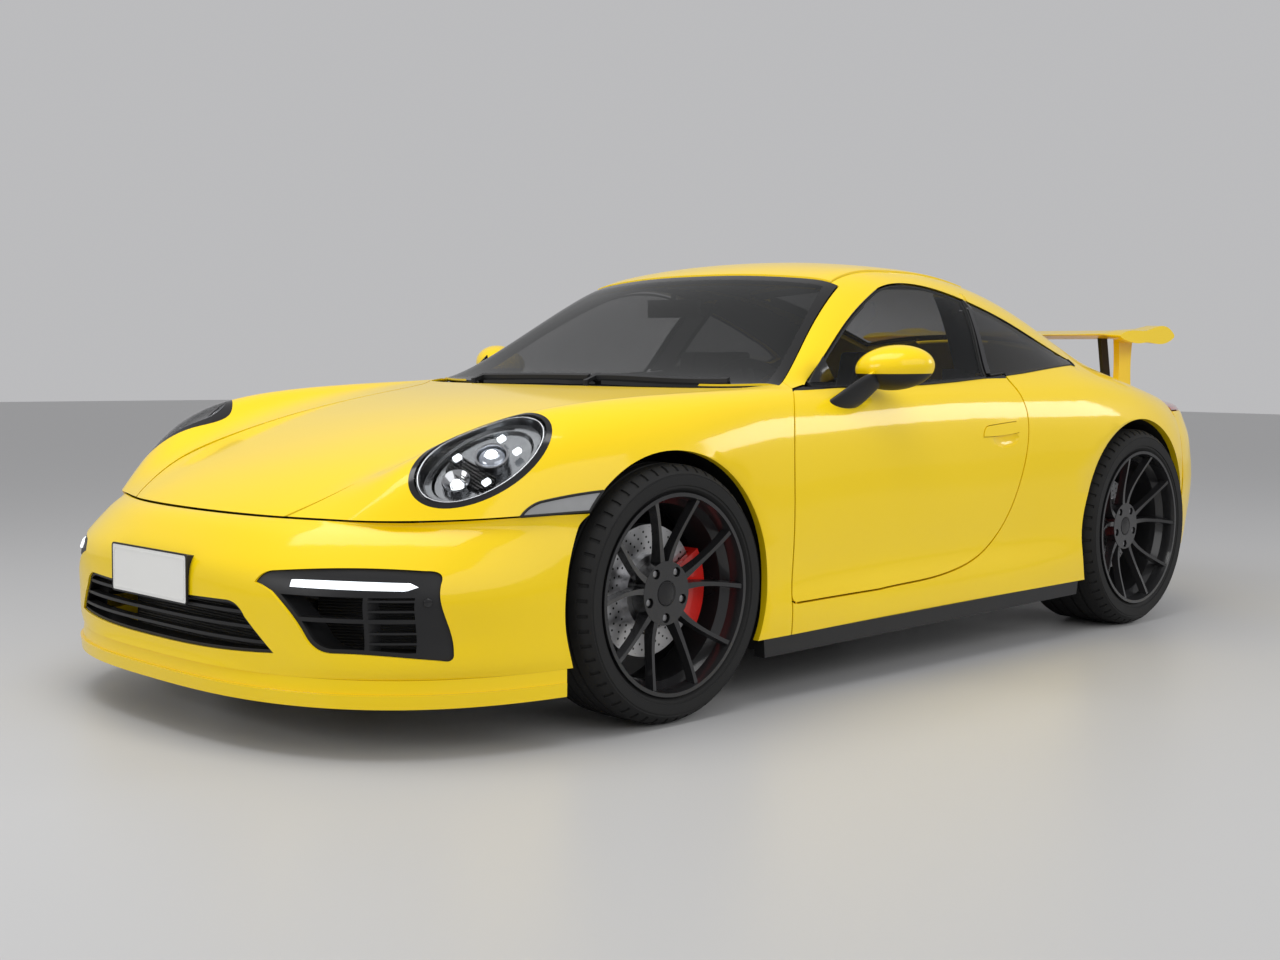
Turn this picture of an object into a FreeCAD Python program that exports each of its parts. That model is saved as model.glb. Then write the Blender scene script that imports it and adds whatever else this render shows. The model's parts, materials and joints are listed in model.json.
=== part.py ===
import FreeCAD, Part
import math
import os
from FreeCAD import Vector

# Yellow rear-engined sports coupe at full size, in millimetres.
# X points to the nose, Y to the left side and Z up. The origin is on the ground,
# under the middle of the car's length.

# Driving dimensions of the whole car
LENGTH = 4519.0
NOSE_X = LENGTH / 2
TAIL_X = -LENGTH / 2
FRONT_AXLE_X = 1262.0
WHEELBASE = 2450.0
REAR_AXLE_X = FRONT_AXLE_X - WHEELBASE
SEAM_GAP = 5.0
SEAT_CLEARANCE = 0.3
RUNNING_CLEARANCE = 0.05

# Front wheels: tyre 245/35 on a 20 inch rim
FRONT_TYRE_R = 340.0
FRONT_TYRE_WIDTH = 245.0
FRONT_RIM_R = 265.0
FRONT_RIM_WIDTH = 230.0
FRONT_WHEEL_Y = 792.0
FRONT_DISC_R = 175.0

# Rear wheels: tyre 305/30 on a 21 inch rim
REAR_TYRE_R = 358.0
REAR_TYRE_WIDTH = 305.0
REAR_RIM_R = 278.0
REAR_RIM_WIDTH = 300.0
REAR_WHEEL_Y = 762.0
REAR_DISC_R = 165.0

# Wheel arches in the side panels
FRONT_ARCH_R = 374.0
FRONT_ARCH_X = FRONT_AXLE_X + 8.0
REAR_ARCH_R = 396.0
REAR_ARCH_X = REAR_AXLE_X + 12.0
LINER_R = 396.0
LINER_THICKNESS = 4.0
LINER_INNER_Y = 470.0
KINGPIN_Y = 715.0

# Wall thicknesses
SKIN_THICKNESS = 8.0
ARCH_FLANGE_DEPTH = 30.0
ARCH_BAND_WIDTH = 34.0
ARCH_BAND_DEPTH = 13.0
BONNET_THICKNESS = 16.0
SIDE_THICKNESS = 30.0
ROOF_THICKNESS = 10.0
HEADER_DEPTH = 26.0
REBATE_WIDTH = 14.0
GLASS_THICKNESS = 6.0
GLASS_INSET = 3.0
DOOR_INNER_Y = 705.0

# How far the side glass bows out, and how steeply the wing tops rise beside the bonnet
GLASS_BOW = 0.09
NOSE_SWELL = 0.35

# Seam between the wings and the front bumper, and between the deck and the tail light
FRONT_SEAM_Z = 552.0
FRONT_SEAM_RISE = 17.0
TAIL_SEAM_Z = 822.0
TAIL_LIGHT_HEIGHT = 46.0
BUMPER_THICKNESS = 6.0

# Headlamp: an oval opening square to its own direction
LAMP_CENTRE = Vector(1753, 706, 702)
LAMP_AXIS = Vector(0.521, 0.427, 0.739)
LAMP_LONG = Vector(0.851, -0.194, -0.489)
LAMP_HALF_LENGTH = 201.0
LAMP_HALF_WIDTH = 121.0
LAMP_BEZEL = 14.0
LAMP_DEPTH = 95.0

# Character lines of the left half, nose to tail, as (x, y, z).
# Each one is read where a station crosses it.
CENTRE_LINE = [(2240, 0, 470), (2205, 0, 500), (2146, 0, 548), (2061, 0, 604), (1950, 0, 655),
               (1800, 0, 706), (1600, 0, 757), (1400, 0, 797), (1200, 0, 828), (1000, 0, 853),
               (880, 0, 866), (860, 0, 868), (230, 0, 1243), (100, 0, 1275), (-50, 0, 1294),
               (-150, 0, 1298), (-300, 0, 1294), (-500, 0, 1280), (-700, 0, 1252), (-1000, 0, 1172),
               (-1350, 0, 1045), (-1700, 0, 925), (-2000, 0, 858), (-2120, 0, 845), (-2190, 0, 822),
               (-2235, 0, 780)]
CANT_LINE = [(2240, 325, 455), (2168, 340, 492), (2106, 375, 550), (1900, 465, 643), (1700, 552, 714),
             (1400, 628, 788), (1000, 690, 846), (790, 718, 870), (690, 716, 896), (420, 655, 1060),
             (172, 592, 1205), (0, 592, 1243), (-300, 588, 1247), (-600, 575, 1213), (-900, 548, 1138),
             (-1200, 512, 1030), (-1500, 480, 928), (-1900, 450, 852), (-2080, 436, 836),
             (-2160, 430, 808), (-2210, 425, 775)]
BELT_LINE = [(2200, 590, 400), (2059, 607, 505), (1964, 632, 622), (1900, 645, 690), (1700, 692, 797),
             (1500, 722, 838), (1262, 744, 858), (1000, 765, 868), (780, 778, 873), (584, 772, 876),
             (300, 778, 884), (0, 780, 893), (-370, 775, 905), (-700, 748, 932), (-963, 705, 966),
             (-1200, 665, 942), (-1500, 622, 884), (-1700, 590, 855), (-1900, 545, 838),
             (-2050, 505, 800), (-2150, 470, 760)]
SHOULDER_LINE = [(2100, 690, 400), (1954, 738, 505), (1791, 780, 660), (1700, 797, 735), (1500, 830, 785),
                 (1262, 848, 812), (1000, 848, 836), (780, 838, 846), (584, 832, 850), (300, 832, 857),
                 (0, 834, 862), (-370, 838, 866), (-700, 850, 874), (-963, 860, 884), (-1188, 856, 878),
                 (-1350, 840, 862), (-1500, 812, 842), (-1600, 786, 828), (-1700, 752, 812),
                 (-1880, 676, 780), (-2000, 600, 750)]
UPPER_LINE = [(1950, 770, 440), (1860, 812, 500), (1700, 850, 612), (1500, 890, 672), (1262, 908, 702),
              (1000, 895, 738), (780, 878, 756), (584, 874, 762), (300, 872, 768), (0, 872, 770),
              (-370, 880, 772), (-700, 905, 775), (-963, 920, 772), (-1188, 924, 755), (-1350, 914, 740),
              (-1500, 888, 730), (-1600, 860, 722), (-1750, 806, 712), (-1900, 740, 700)]
WIDTH_LINE = [(1800, 850, 440), (1712, 878, 480), (1640, 890, 522), (1500, 905, 550), (1262, 915, 570),
              (1000, 905, 590), (780, 892, 600), (584, 886, 600), (300, 882, 600), (0, 882, 600),
              (-370, 888, 600), (-700, 908, 590), (-963, 926, 580), (-1188, 930, 570), (-1350, 922, 560),
              (-1500, 900, 550), (-1600, 876, 545), (-1700, 842, 540)]
LOWER_LINE = [(1700, 880, 420), (1500, 905, 430), (1262, 912, 430), (1000, 905, 430), (780, 893, 430),
              (584, 884, 430), (300, 878, 430), (0, 878, 430), (-370, 882, 430), (-700, 900, 430),
              (-963, 918, 430), (-1188, 922, 430), (-1350, 914, 430), (-1500, 893, 430), (-1700, 836, 430)]
TUCK_LINE = [(1700, 880, 300), (1500, 900, 300), (1262, 905, 300), (1000, 900, 300), (780, 888, 305),
             (584, 876, 310), (300, 868, 315), (0, 868, 320), (-370, 876, 325), (-700, 898, 325),
             (-963, 915, 320), (-1188, 914, 320), (-1350, 905, 320), (-1500, 882, 320), (-1700, 826, 320)]
SILL_LINE = [(1700, 880, 230), (1500, 900, 230), (1262, 905, 230), (1000, 908, 232), (780, 912, 236),
             (584, 908, 240), (300, 905, 245), (0, 905, 248), (-370, 908, 250), (-700, 915, 250),
             (-963, 915, 245), (-1188, 908, 240), (-1350, 898, 238), (-1500, 876, 235), (-1700, 820, 235)]
FOOT_LINE = [(1700, 872, 60), (1262, 885, 60), (780, 880, 60), (0, 875, 60), (-700, 880, 60),
             (-1188, 880, 60), (-1500, 858, 60), (-1700, 800, 60)]

# Stations along the side, each with how far the same row runs ahead at the centre line
STATIONS = [(1650, 555), (1640, 506), (1600, 496), (1545, 440), (1480, 380), (1400, 320), (1300, 270),
            (1180, 225), (1050, 190), (920, 165), (800, 150), (712, 152), (690, 160), (655, 150),
            (560, 140), (430, 125), (300, 110), (190, 85), (100, 60), (0, 30), (-120, 0), (-260, -15),
            (-400, -25), (-560, -35), (-720, -40), (-880, -40), (-1040, -50), (-1190, -80),
            (-1310, -130), (-1400, -210), (-1470, -310), (-1530, -410), (-1580, -500), (-1620, -560),
            (-1650, -570)]
# Share of that lead at each line, from the centre out to the width line
NOSE_SHARES = [1.0, 0.985, 0.96, 0.92, 0.85, 0.735, 0.50, 0.33, 0.09]
CABIN_SHARES = [1.0, 0.92, 0.68, 0.45, 0.30, 0.18, 0.08, 0.03, 0.0]
TAIL_SHARES = [1.0, 0.985, 0.95, 0.90, 0.82, 0.70, 0.42, 0.20, 0.05]


# Geometry helpers

def slopes(x, v):
    """Slopes of a smooth curve through the points, with no overshoot between them."""
    n = len(x)
    rise = [(v[i + 1] - v[i]) / (x[i + 1] - x[i]) for i in range(n - 1)]
    inner = []
    for i in range(1, n - 1):
        if rise[i - 1] * rise[i] <= 0:
            inner.append(0.0)
        else:
            a = 2 * (x[i + 1] - x[i]) + (x[i] - x[i - 1])
            b = (x[i + 1] - x[i]) + 2 * (x[i] - x[i - 1])
            inner.append((a + b) / (a / rise[i - 1] + b / rise[i]))
    return [rise[0]] + inner + [rise[-1]]


def reader(line):
    """Function that gives (y, z) of a character line at any x."""
    knots = sorted(line)
    x = [k[0] for k in knots]
    columns = [[k[1] for k in knots], [k[2] for k in knots]]
    grades = [slopes(x, v) for v in columns]

    def read(at):
        if at <= x[0] or at >= x[-1]:
            i = 0 if at <= x[0] else len(x) - 1
            return tuple(v[i] + g[i] * (at - x[i]) for v, g in zip(columns, grades))
        i = max(k for k in range(len(x)) if x[k] <= at)
        h = x[i + 1] - x[i]
        t = (at - x[i]) / h
        out = []
        for v, g in zip(columns, grades):
            out.append(v[i] * (1 + 2 * t) * (1 - t) ** 2 + g[i] * h * t * (1 - t) ** 2
                       + v[i + 1] * t * t * (3 - 2 * t) + g[i + 1] * h * t * t * (t - 1))
        return tuple(out)
    return read


def clamped(n, degree=3):
    """Knots and multiplicities of a clamped uniform curve with n poles."""
    spans = n - degree
    return [float(k) for k in range(spans + 1)], [degree + 1] + [1] * (spans - 1) + [degree + 1]


def skin_surface(grid):
    """Smooth surface drawn from a grid of poles."""
    surface = Part.BSplineSurface()
    knots_u, mults_u = clamped(len(grid))
    knots_v, mults_v = clamped(len(grid[0]))
    surface.buildFromPolesMultsKnots(grid, mults_u, mults_v, knots_u, knots_v, False, False, 3, 3)
    return surface


def solid_of(faces):
    """Closed solid from faces that meet at their edges."""
    shell = Part.makeShell(faces)
    shell.sewShape()
    solid = Part.makeSolid(shell)
    if solid.Volume < 0:
        solid.reverse()
    return solid


def slab(outer, inner):
    """Solid between two pole grids of the same size."""
    a = skin_surface(outer).toShape()
    b = skin_surface(inner).toShape()
    rims = []
    for picks in (lambda g: g[0], lambda g: g[-1],
                  lambda g: [row[0] for row in g], lambda g: [row[-1] for row in g]):
        edges = []
        for grid in (outer, inner):
            poles = picks(grid)
            knots, mults = clamped(len(poles))
            curve = Part.BSplineCurve()
            curve.buildFromPolesMultsKnots(poles, mults, knots, False, 3)
            edges.append(curve.toShape())
        rims.append(Part.makeRuledSurface(edges[0], edges[1]))
    return solid_of([a, b] + rims)


def shifted(grid, move):
    return [[p + move for p in row] for row in grid]


def box(x0, x1, y0, y1, z0, z1):
    return Part.makeBox(x1 - x0, y1 - y0, z1 - z0, Vector(x0, y0, z0))


def both_sides(shape):
    """The shape and its mirror image on the right side, as separate solids."""
    return Part.makeCompound(shape.Solids + mirrored(shape).Solids)


def mirrored(shape):
    return shape.mirror(Vector(0, 0, 0), Vector(0, 1, 0))


def on_plane(plane, a, b, at=0.0):
    """Point with two coordinates in a named plane: xy, xz or yz."""
    if plane == "xy":
        return Vector(a, b, at)
    if plane == "xz":
        return Vector(a, at, b)
    return Vector(at, a, b)


def outline_wire(runs, plane, at):
    """Closed wire of runs of points. A run of two is a line and a longer one a smooth curve."""
    edges = []
    for run in runs:
        points = [on_plane(plane, a, b, at) for a, b in run]
        if len(points) == 2:
            edges.append(Part.makeLine(points[0], points[1]))
        else:
            curve = Part.BSplineCurve()
            curve.interpolate(points)
            edges.append(curve.toShape())
    return Part.Wire(edges)


def grown(runs, distance):
    """The same closed outline moved outward by a distance, or inward if it is negative."""
    points = [p for run in runs for p in run[:-1]]
    n = len(points)
    area = sum(points[i - 1][0] * points[i][1] - points[i][0] * points[i - 1][1] for i in range(n))
    turn = 1.0 if area > 0 else -1.0
    moved = []
    for i in range(n):
        before, here, after = points[i - 1], points[i], points[(i + 1) % n]
        normals = []
        for p, q in ((before, here), (here, after)):
            dx, dy = q[0] - p[0], q[1] - p[1]
            size = math.hypot(dx, dy)
            normals.append((turn * dy / size, -turn * dx / size))
        sx, sy = normals[0][0] + normals[1][0], normals[0][1] + normals[1][1]
        reach = distance / max(0.35, (sx * sx + sy * sy) / 2)
        moved.append((here[0] + sx * reach, here[1] + sy * reach))
    out, k = [], 0
    for run in runs:
        count = len(run) - 1
        out.append([moved[(k + j) % n] for j in range(count + 1)])
        k += count
    return out


def prism(runs, plane, start, end):
    """Closed outline in a plane pushed from one offset to the other."""
    face = Part.Face(outline_wire(runs, plane, start))
    return face.extrude(on_plane(plane, 0, 0, end - start))


def symmetric(half):
    """Whole outline in plan from its left half, which starts and ends on the centre line."""
    other = [[(x, -y) for x, y in reversed(run)] for run in reversed(half)]
    return half + other


def joined(first, *others):
    return first.fuse(list(others)).removeSplitter()


def clean(shape):
    """The solids of a shape, without slivers."""
    solids = [s for s in shape.Solids if s.Volume > 500.0]
    return solids[0] if len(solids) == 1 else Part.makeCompound(solids)


# The body's outer skin

LINES = [reader(k) for k in (CENTRE_LINE, CANT_LINE, BELT_LINE, SHOULDER_LINE, UPPER_LINE, WIDTH_LINE,
                             LOWER_LINE, TUCK_LINE, SILL_LINE, FOOT_LINE)]


def blend(t):
    t = min(1.0, max(0.0, t))
    return t * t * (3 - 2 * t)


def skin_row(station, lead):
    """Poles of one row of the left half, from the centre line down to the foot."""
    nose = blend((station - 800.0) / 840.0)
    tail = blend((-station - 900.0) / 700.0)
    shares = [c + nose * (n - c) + tail * (t - c)
              for c, n, t in zip(CABIN_SHARES, NOSE_SHARES, TAIL_SHARES)]
    at = [station + lead * s for s in shares] + [float(station)] * 4
    cant_y, cant_z = LINES[1](at[3])
    row = []
    for k, u in ((0, 0.0), (1, 0.38), (2, 0.75)):
        top = LINES[0](at[k])[1]
        row.append(Vector(at[k], u * cant_y, top - (top - LINES[1](at[k])[1]) * u ** 2.3))
    row.append(Vector(at[3], cant_y, cant_z))
    cy, cz = LINES[1](at[4])
    by, bz = LINES[2](at[4])
    swell = NOSE_SWELL * nose * max(bz - cz, 0.0)
    row.append(Vector(at[4], (cy + by) / 2 + GLASS_BOW * max(cz - bz, 0.0), (cz + bz) / 2 + swell))
    for i in range(2, 10):
        y, z = LINES[i](at[i + 3])
        row.append(Vector(at[i + 3], y, z))
    return row


HALF_GRID = [skin_row(s, b) for s, b in STATIONS]
WHOLE_GRID = [list(reversed(row)) + [Vector(p.x, -p.y, p.z) for p in row[1:]] for row in HALF_GRID]
MIDDLE = len(HALF_GRID[0]) - 1


def whole_patch(first, last, columns):
    """Rows of the whole skin with this many columns each side of the centre line."""
    return [row[MIDDLE - columns:MIDDLE + columns + 1] for row in WHOLE_GRID[first:last]]


# Outlines of the panels: in plan (x, y) for the top and in side view (x, z) for the sides

BONNET = symmetric([
    [(2151, 0), (2144, 120), (2128, 240), (2103, 362)],
    [(2103, 362), (2023, 418), (1934, 455), (1776, 482), (1588, 494), (1384, 514), (1100, 566),
     (900, 640), (800, 725)],
    [(800, 725), (845, 560), (872, 300), (880, 0)]])
WINDSCREEN = symmetric([
    [(805, 0), (802, 305), (785, 560), (700, 762)],
    [(700, 762), (605, 722), (500, 678), (392, 635), (280, 597), (179, 566)],
    [(179, 566), (204, 400), (226, 200), (236, 0)]])
COWL = symmetric([
    [(874, 0), (866, 300), (839, 560), (795, 720)],
    [(795, 720), (706, 762)],
    [(706, 762), (790, 562), (808, 305), (811, 0)]])
ROOF = symmetric([
    [(230, 0), (220, 200), (198, 400), (180, 536)],
    [(180, 536), (60, 524), (-150, 520), (-380, 512), (-620, 496)],
    [(-620, 496), (-652, 250), (-660, 0)]])
REAR_WINDOW = symmetric([
    [(-666, 0), (-658, 250), (-628, 488)],
    [(-628, 488), (-860, 470), (-1080, 446), (-1290, 418)],
    [(-1290, 418), (-1312, 220), (-1318, 0)]])
ENGINE_LID = symmetric([
    [(-1324, 0), (-1318, 220), (-1298, 424)],
    [(-1298, 424), (-1400, 462), (-1540, 508), (-1700, 536), (-1880, 540), (-2040, 512), (-2120, 470)],
    [(-2120, 470), (-2300, 440)],
    [(-2300, 440), (-2300, 0)]])
SIDE_GLASS = [
    [(606, 874), (478, 943), (328, 1037), (175, 1122), (32, 1184)],
    [(32, 1184), (-128, 1206), (-262, 1197), (-443, 1158), (-640, 1103), (-806, 1046), (-948, 991),
     (-1008, 964)],
    [(-1008, 964), (-1000, 952), (-960, 948)],
    [(-960, 948), (-880, 944), (-628, 924), (-355, 903), (-47, 884), (170, 876), (410, 872), (606, 874)]]
PILLAR_TOP_X = -440.0
PILLAR_TOP_Z = 1158.0
PILLAR_FOOT_X = -346.0
PILLAR_FOOT_Z = 903.0
PILLAR_WIDTH = 26.0
PILLAR_DEPTH = 120.0
DOOR_TOP_Z = 915.0
GLASS_GAP = 8.0
FLOOR_TOP = 165.0
DOOR_SHELL = [
    [(606, 874), (668, 864)],
    [(668, 864), (735, 803), (760, 729), (772, 561), (776, 392), (786, 300)],
    [(786, 300), (783, 279), (760, 272)],
    [(760, 272), (368, 273)],
    [(368, 273), (105, 283), (-67, 303), (-214, 348), (-324, 433), (-403, 562), (-446, 696), (-456, 799)],
    [(-456, 799), (-452, 911)],
    [(-452, 911), (-355, 903), (-47, 884), (170, 876), (410, 872), (606, 874)]]
SILL_FRONT_Z = 181.0
SILL_REAR_Z = 197.0
QUARTER_REAR_X = -1575.0


# Skin patches as solids of the right thickness

DOWN = Vector(0, 0, -1)
INWARD_LEFT = Vector(0, -0.707, -0.707)


def top_slab(first, last, columns, start, thickness):
    patch = whole_patch(first, last, columns)
    return slab(shifted(patch, DOWN * start), shifted(patch, DOWN * (start + thickness)))


def left_slab(first, last, inner, outer, direction, start, thickness):
    patch = [row[inner:outer + 1] for row in HALF_GRID[first:last]]
    return slab(shifted(patch, direction * start), shifted(patch, direction * (start + thickness)))


def arch(x, r, y0=300.0, y1=1100.0, z=None):
    height = FRONT_TYRE_R if x > 0 else REAR_TYRE_R
    return Part.makeCylinder(r, y1 - y0, Vector(x, y0, height if z is None else z), Vector(0, 1, 0))


def arch_band(x, r, face_y):
    """Cone that bevels the panel round an arch: widest outside, down to the arch's edge inside."""
    height = FRONT_TYRE_R if x > 0 else REAR_TYRE_R
    inner_y = face_y - ARCH_BAND_DEPTH
    slope = ARCH_BAND_WIDTH / ARCH_BAND_DEPTH
    return Part.makeCone(r, r + slope * (1000.0 - inner_y), 1000.0 - inner_y, Vector(x, inner_y, height),
                         Vector(0, 1, 0))


FRONT_ARCH = arch(FRONT_ARCH_X, FRONT_ARCH_R)
REAR_ARCH = arch(REAR_ARCH_X, REAR_ARCH_R)
FRONT_BAND = arch_band(FRONT_ARCH_X, FRONT_ARCH_R, 912.0)
REAR_BAND = arch_band(REAR_ARCH_X, REAR_ARCH_R, 924.0)


def lamp_oval(margin, depth_out=120.0, depth_in=160.0):
    """Oval prism of the left headlamp opening, its rim moved outward by a margin."""
    start = LAMP_CENTRE - LAMP_AXIS * depth_in
    across = LAMP_AXIS.cross(LAMP_LONG)
    oval = Part.Ellipse(start + LAMP_LONG * (LAMP_HALF_LENGTH + margin),
                        start + across * (LAMP_HALF_WIDTH + margin), start)
    face = Part.Face(Part.Wire([oval.toShape()]))
    return face.extrude(LAMP_AXIS * (depth_out + depth_in))


def front_seam_height(x):
    return FRONT_SEAM_Z + FRONT_SEAM_RISE * blend((1990.0 - x) / 250.0)


def seam_block(x0, x1, height, bottom):
    """Everything below (or above) the front seam, as a block in side view."""
    xs = [x0 + (x1 - x0) * k / 6.0 for k in range(7)]
    line = [(x, height(x)) for x in xs]
    runs = [line, [line[-1], (x1, bottom)], [(x1, bottom), (x0, bottom)], [(x0, bottom), line[0]]]
    return prism(runs, "xz", -1200.0, 1200.0)


HALF_GAP = SEAM_GAP / 2
BELOW_FRONT_SEAM = seam_block(2500.0, 1250.0, lambda x: front_seam_height(x) + HALF_GAP, -50.0)
ABOVE_FRONT_SEAM = seam_block(2500.0, 1250.0, lambda x: front_seam_height(x) - HALF_GAP, 1400.0)


def sill_height(x):
    """Lower edge of the painted side, which rises a little to the rear."""
    return SILL_FRONT_Z + (SILL_REAR_Z - SILL_FRONT_Z) * (920.0 - x) / 1700.0


def pillar_x(z):
    """Middle of the leaning pillar behind the door glass."""
    share = (z - PILLAR_FOOT_Z) / (PILLAR_TOP_Z - PILLAR_FOOT_Z)
    return PILLAR_FOOT_X + (PILLAR_TOP_X - PILLAR_FOOT_X) * share


def pane_opening(runs, rows, depth):
    """Opening for a pane set in from above: its full size down to its bed, then a narrower hole."""
    bed = top_slab(rows[0], rows[1], 9, -40.0, 40.0 + depth + SEAT_CLEARANCE)
    wide = bed.common(prism(grown(runs, HALF_GAP), "xy", 300.0, 1600.0))
    return [wide, prism(grown(runs, -REBATE_WIDTH), "xy", 300.0, 1600.0)]


WINDSCREEN_THICKNESS = 2 * GLASS_THICKNESS
WINDSCREEN_OPENING = pane_opening(WINDSCREEN, (5, 24), GLASS_INSET + WINDSCREEN_THICKNESS)
REAR_OPENING = pane_opening(REAR_WINDOW, (19, 35), GLASS_INSET + GLASS_THICKNESS)
ROOF_OPENING = pane_opening(ROOF, (12, 31), ROOF_THICKNESS)
LID_OPENING = pane_opening(ENGINE_LID, (22, 35), BONNET_THICKNESS)


MOVING_MARGIN = 0.8
BONNET_CORNER_R = 8.0


def make_bonnet():
    """Bonnet, thin at its rear corners, where a round boss holds the bore of each hinge pin."""
    shape = top_slab(0, 13, 6, 0.0, BONNET_THICKNESS)
    shape = shape.common(prism(grown(BONNET, -HALF_GAP - MOVING_MARGIN), "xy", 300.0, 1400.0))
    relief = top_slab(0, 13, 6, HINGE_EDGE_THICKNESS, 2 * BONNET_THICKNESS)
    relief = relief.common(box(780, 900, 560, 760, 700, 950))
    corner = Part.makeCylinder(BONNET_CORNER_R, 400, Vector(802, 721, 600))
    shape = shape.cut([BELOW_FRONT_SEAM, relief, mirrored(relief), corner, mirrored(corner)])
    boss = Part.makeCylinder(HINGE_BOSS_R, HINGE_BOSS_LENGTH, HINGE_END, HINGE_AXIS)
    bore = Part.makeCylinder(HINGE_PIN_R + RUNNING_CLEARANCE, 80, HINGE_END + HINGE_AXIS * 3, HINGE_AXIS)
    return largest(shape.fuse([boss, mirrored(boss)]).cut([bore, mirrored(bore)]))


BONNET_HINGE_X = 816.0
BONNET_HINGE_Z = 860.0
HINGE_PIN_R = 2.5
HINGE_BOSS_R = 5.5
HINGE_BOSS_LENGTH = 16.0
HINGE_EDGE_THICKNESS = 7.0
HINGE_END = Vector(BONNET_HINGE_X, 686, BONNET_HINGE_Z)
HINGE_AXIS = Vector(0, 1, 0)


def make_cowl():
    """Dark panel between the bonnet and the windscreen, which rests on its rear edge."""
    depth = GLASS_INSET + WINDSCREEN_THICKNESS + SEAT_CLEARANCE
    shape = top_slab(5, 17, 8, depth, COWL_THICKNESS)
    shape = shape.common(prism(COWL, "xy", 300.0, 1400.0))
    return clean(shape)


COWL_THICKNESS = 8.0


def make_windscreen():
    shape = top_slab(6, 24, 8, GLASS_INSET, WINDSCREEN_THICKNESS)
    return clean(shape.common(prism(grown(WINDSCREEN, -HALF_GAP / 2), "xy", 300.0, 1500.0)))


def make_roof():
    """Roof skin with a header under its front and rear edge that carries the panes."""
    skin = top_slab(12, 30, 6, 0.0, ROOF_THICKNESS)
    skin = skin.common(prism(grown(ROOF, -HALF_GAP / 2), "xy", 300.0, 1500.0))
    bow = top_slab(12, 31, 6, ROOF_THICKNESS - 1.0, HEADER_DEPTH - ROOF_THICKNESS)
    front = bow.common(box(120, 262, -HEADER_HALF_WIDTH, HEADER_HALF_WIDTH, 900, 1500))
    half = REAR_HEADER_HALF_WIDTH
    rear = bow.common(box(-700, -585, -half, half, 900, 1500))
    front = front.cut([WINDSCREEN_OPENING[0], prism(grown(WINDSCREEN, -2 * REBATE_WIDTH), "xy", 300, 1600)])
    rear = rear.cut([REAR_OPENING[0], prism(grown(REAR_WINDOW, -2 * REBATE_WIDTH), "xy", 300.0, 1600.0)])
    return clean(skin.fuse([largest(front), largest(rear)]).removeSplitter())


HEADER_HALF_WIDTH = 500.0
REAR_HEADER_HALF_WIDTH = 464.0


def make_rear_window():
    shape = top_slab(19, 35, 6, GLASS_INSET, GLASS_THICKNESS)
    return clean(shape.common(prism(grown(REAR_WINDOW, -HALF_GAP / 2), "xy", 300.0, 1500.0)))


def make_engine_lid():
    shape = top_slab(22, 35, 6, 0.0, BONNET_THICKNESS)
    shape = shape.common(prism(grown(ENGINE_LID, -HALF_GAP - MOVING_MARGIN), "xy", 300.0, 1500.0))
    return clean(shape.cut(box(-2400, -1000, -900, 900, 0, TAIL_SEAM_Z + HALF_GAP + MOVING_MARGIN)))


def make_fender():
    """Left front wing, from the bumper and the bonnet back to the door, with its bevelled arch."""
    skin = left_slab(0, 16, 2, 12, INWARD_LEFT, 0.0, SKIN_THICKNESS)
    flange = left_slab(0, 16, 4, 12, INWARD_LEFT, SKIN_THICKNESS / 2, ARCH_FLANGE_DEPTH - SKIN_THICKNESS / 2)
    flange = flange.common(arch(FRONT_ARCH_X, FRONT_ARCH_R + ARCH_FLANGE_WIDTH, 700.0))
    low_front = BELOW_FRONT_SEAM.common(box(1500, 2500, -1200, 1200, -60, 1000))
    marker = prism(grown(SIDE_MARKER, SEAT_CLEARANCE), "xz", 700.0, 1200.0)
    shape = skin.fuse(flange)
    shape = shape.cut([prism(grown(BONNET, HALF_GAP), "xy", 300.0, 1400.0), low_front, FRONT_ARCH, marker,
                       FRONT_BAND, lamp_oval(SEAT_CLEARANCE),
                       prism(grown(WINDSCREEN, HALF_GAP), "xy", 300.0, 1500.0),
                       prism(grown(COWL, HALF_GAP), "xy", 300.0, 1400.0)])
    line = grown(DOOR_SHELL, SEAM_GAP)[1]
    start, end = line[0], line[-1]
    region = [[(2600, 1300), start_above(start)], [start_above(start), start], line,
              [end, (end[0], sill_height(end[0]))], [(end[0], sill_height(end[0])), (2600, 170)],
              [(2600, 170), (2600, 1300)]]
    strip = [(848, 560), (806, 713), (792, 713), (832, 556)]
    strip = [[strip[k], strip[(k + 1) % 4]] for k in range(4)]
    shape = shape.cut(prism(strip, "xy", 300.0, 1400.0))
    wing = largest(shape.common(prism(region, "xz", 100.0, 1200.0)))
    pin = Part.makeCylinder(HINGE_PIN_R, 49, HINGE_END + HINGE_AXIS * 5, HINGE_AXIS)
    return joined(wing, pin)


ARCH_FLANGE_WIDTH = 52.0
SIDE_MARKER = [
    [(1743, 567), (1722, 585), (1689, 600)], [(1689, 600), (1613, 612), (1480, 622)],
    [(1480, 622), (1480, 574)], [(1480, 574), (1600, 572), (1743, 567)]]


def make_side_marker():
    """Lamp strip that closes the left wing above the bumper seam, up to the arch."""
    strip = left_slab(0, 16, 4, 12, INWARD_LEFT, 0.0, SKIN_THICKNESS)
    strip = strip.common(prism(SIDE_MARKER, "xz", 700.0, 1200.0))
    return clean(strip.cut([FRONT_ARCH, FRONT_BAND]))


def start_above(point):
    return (point[0], 1300)


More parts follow.
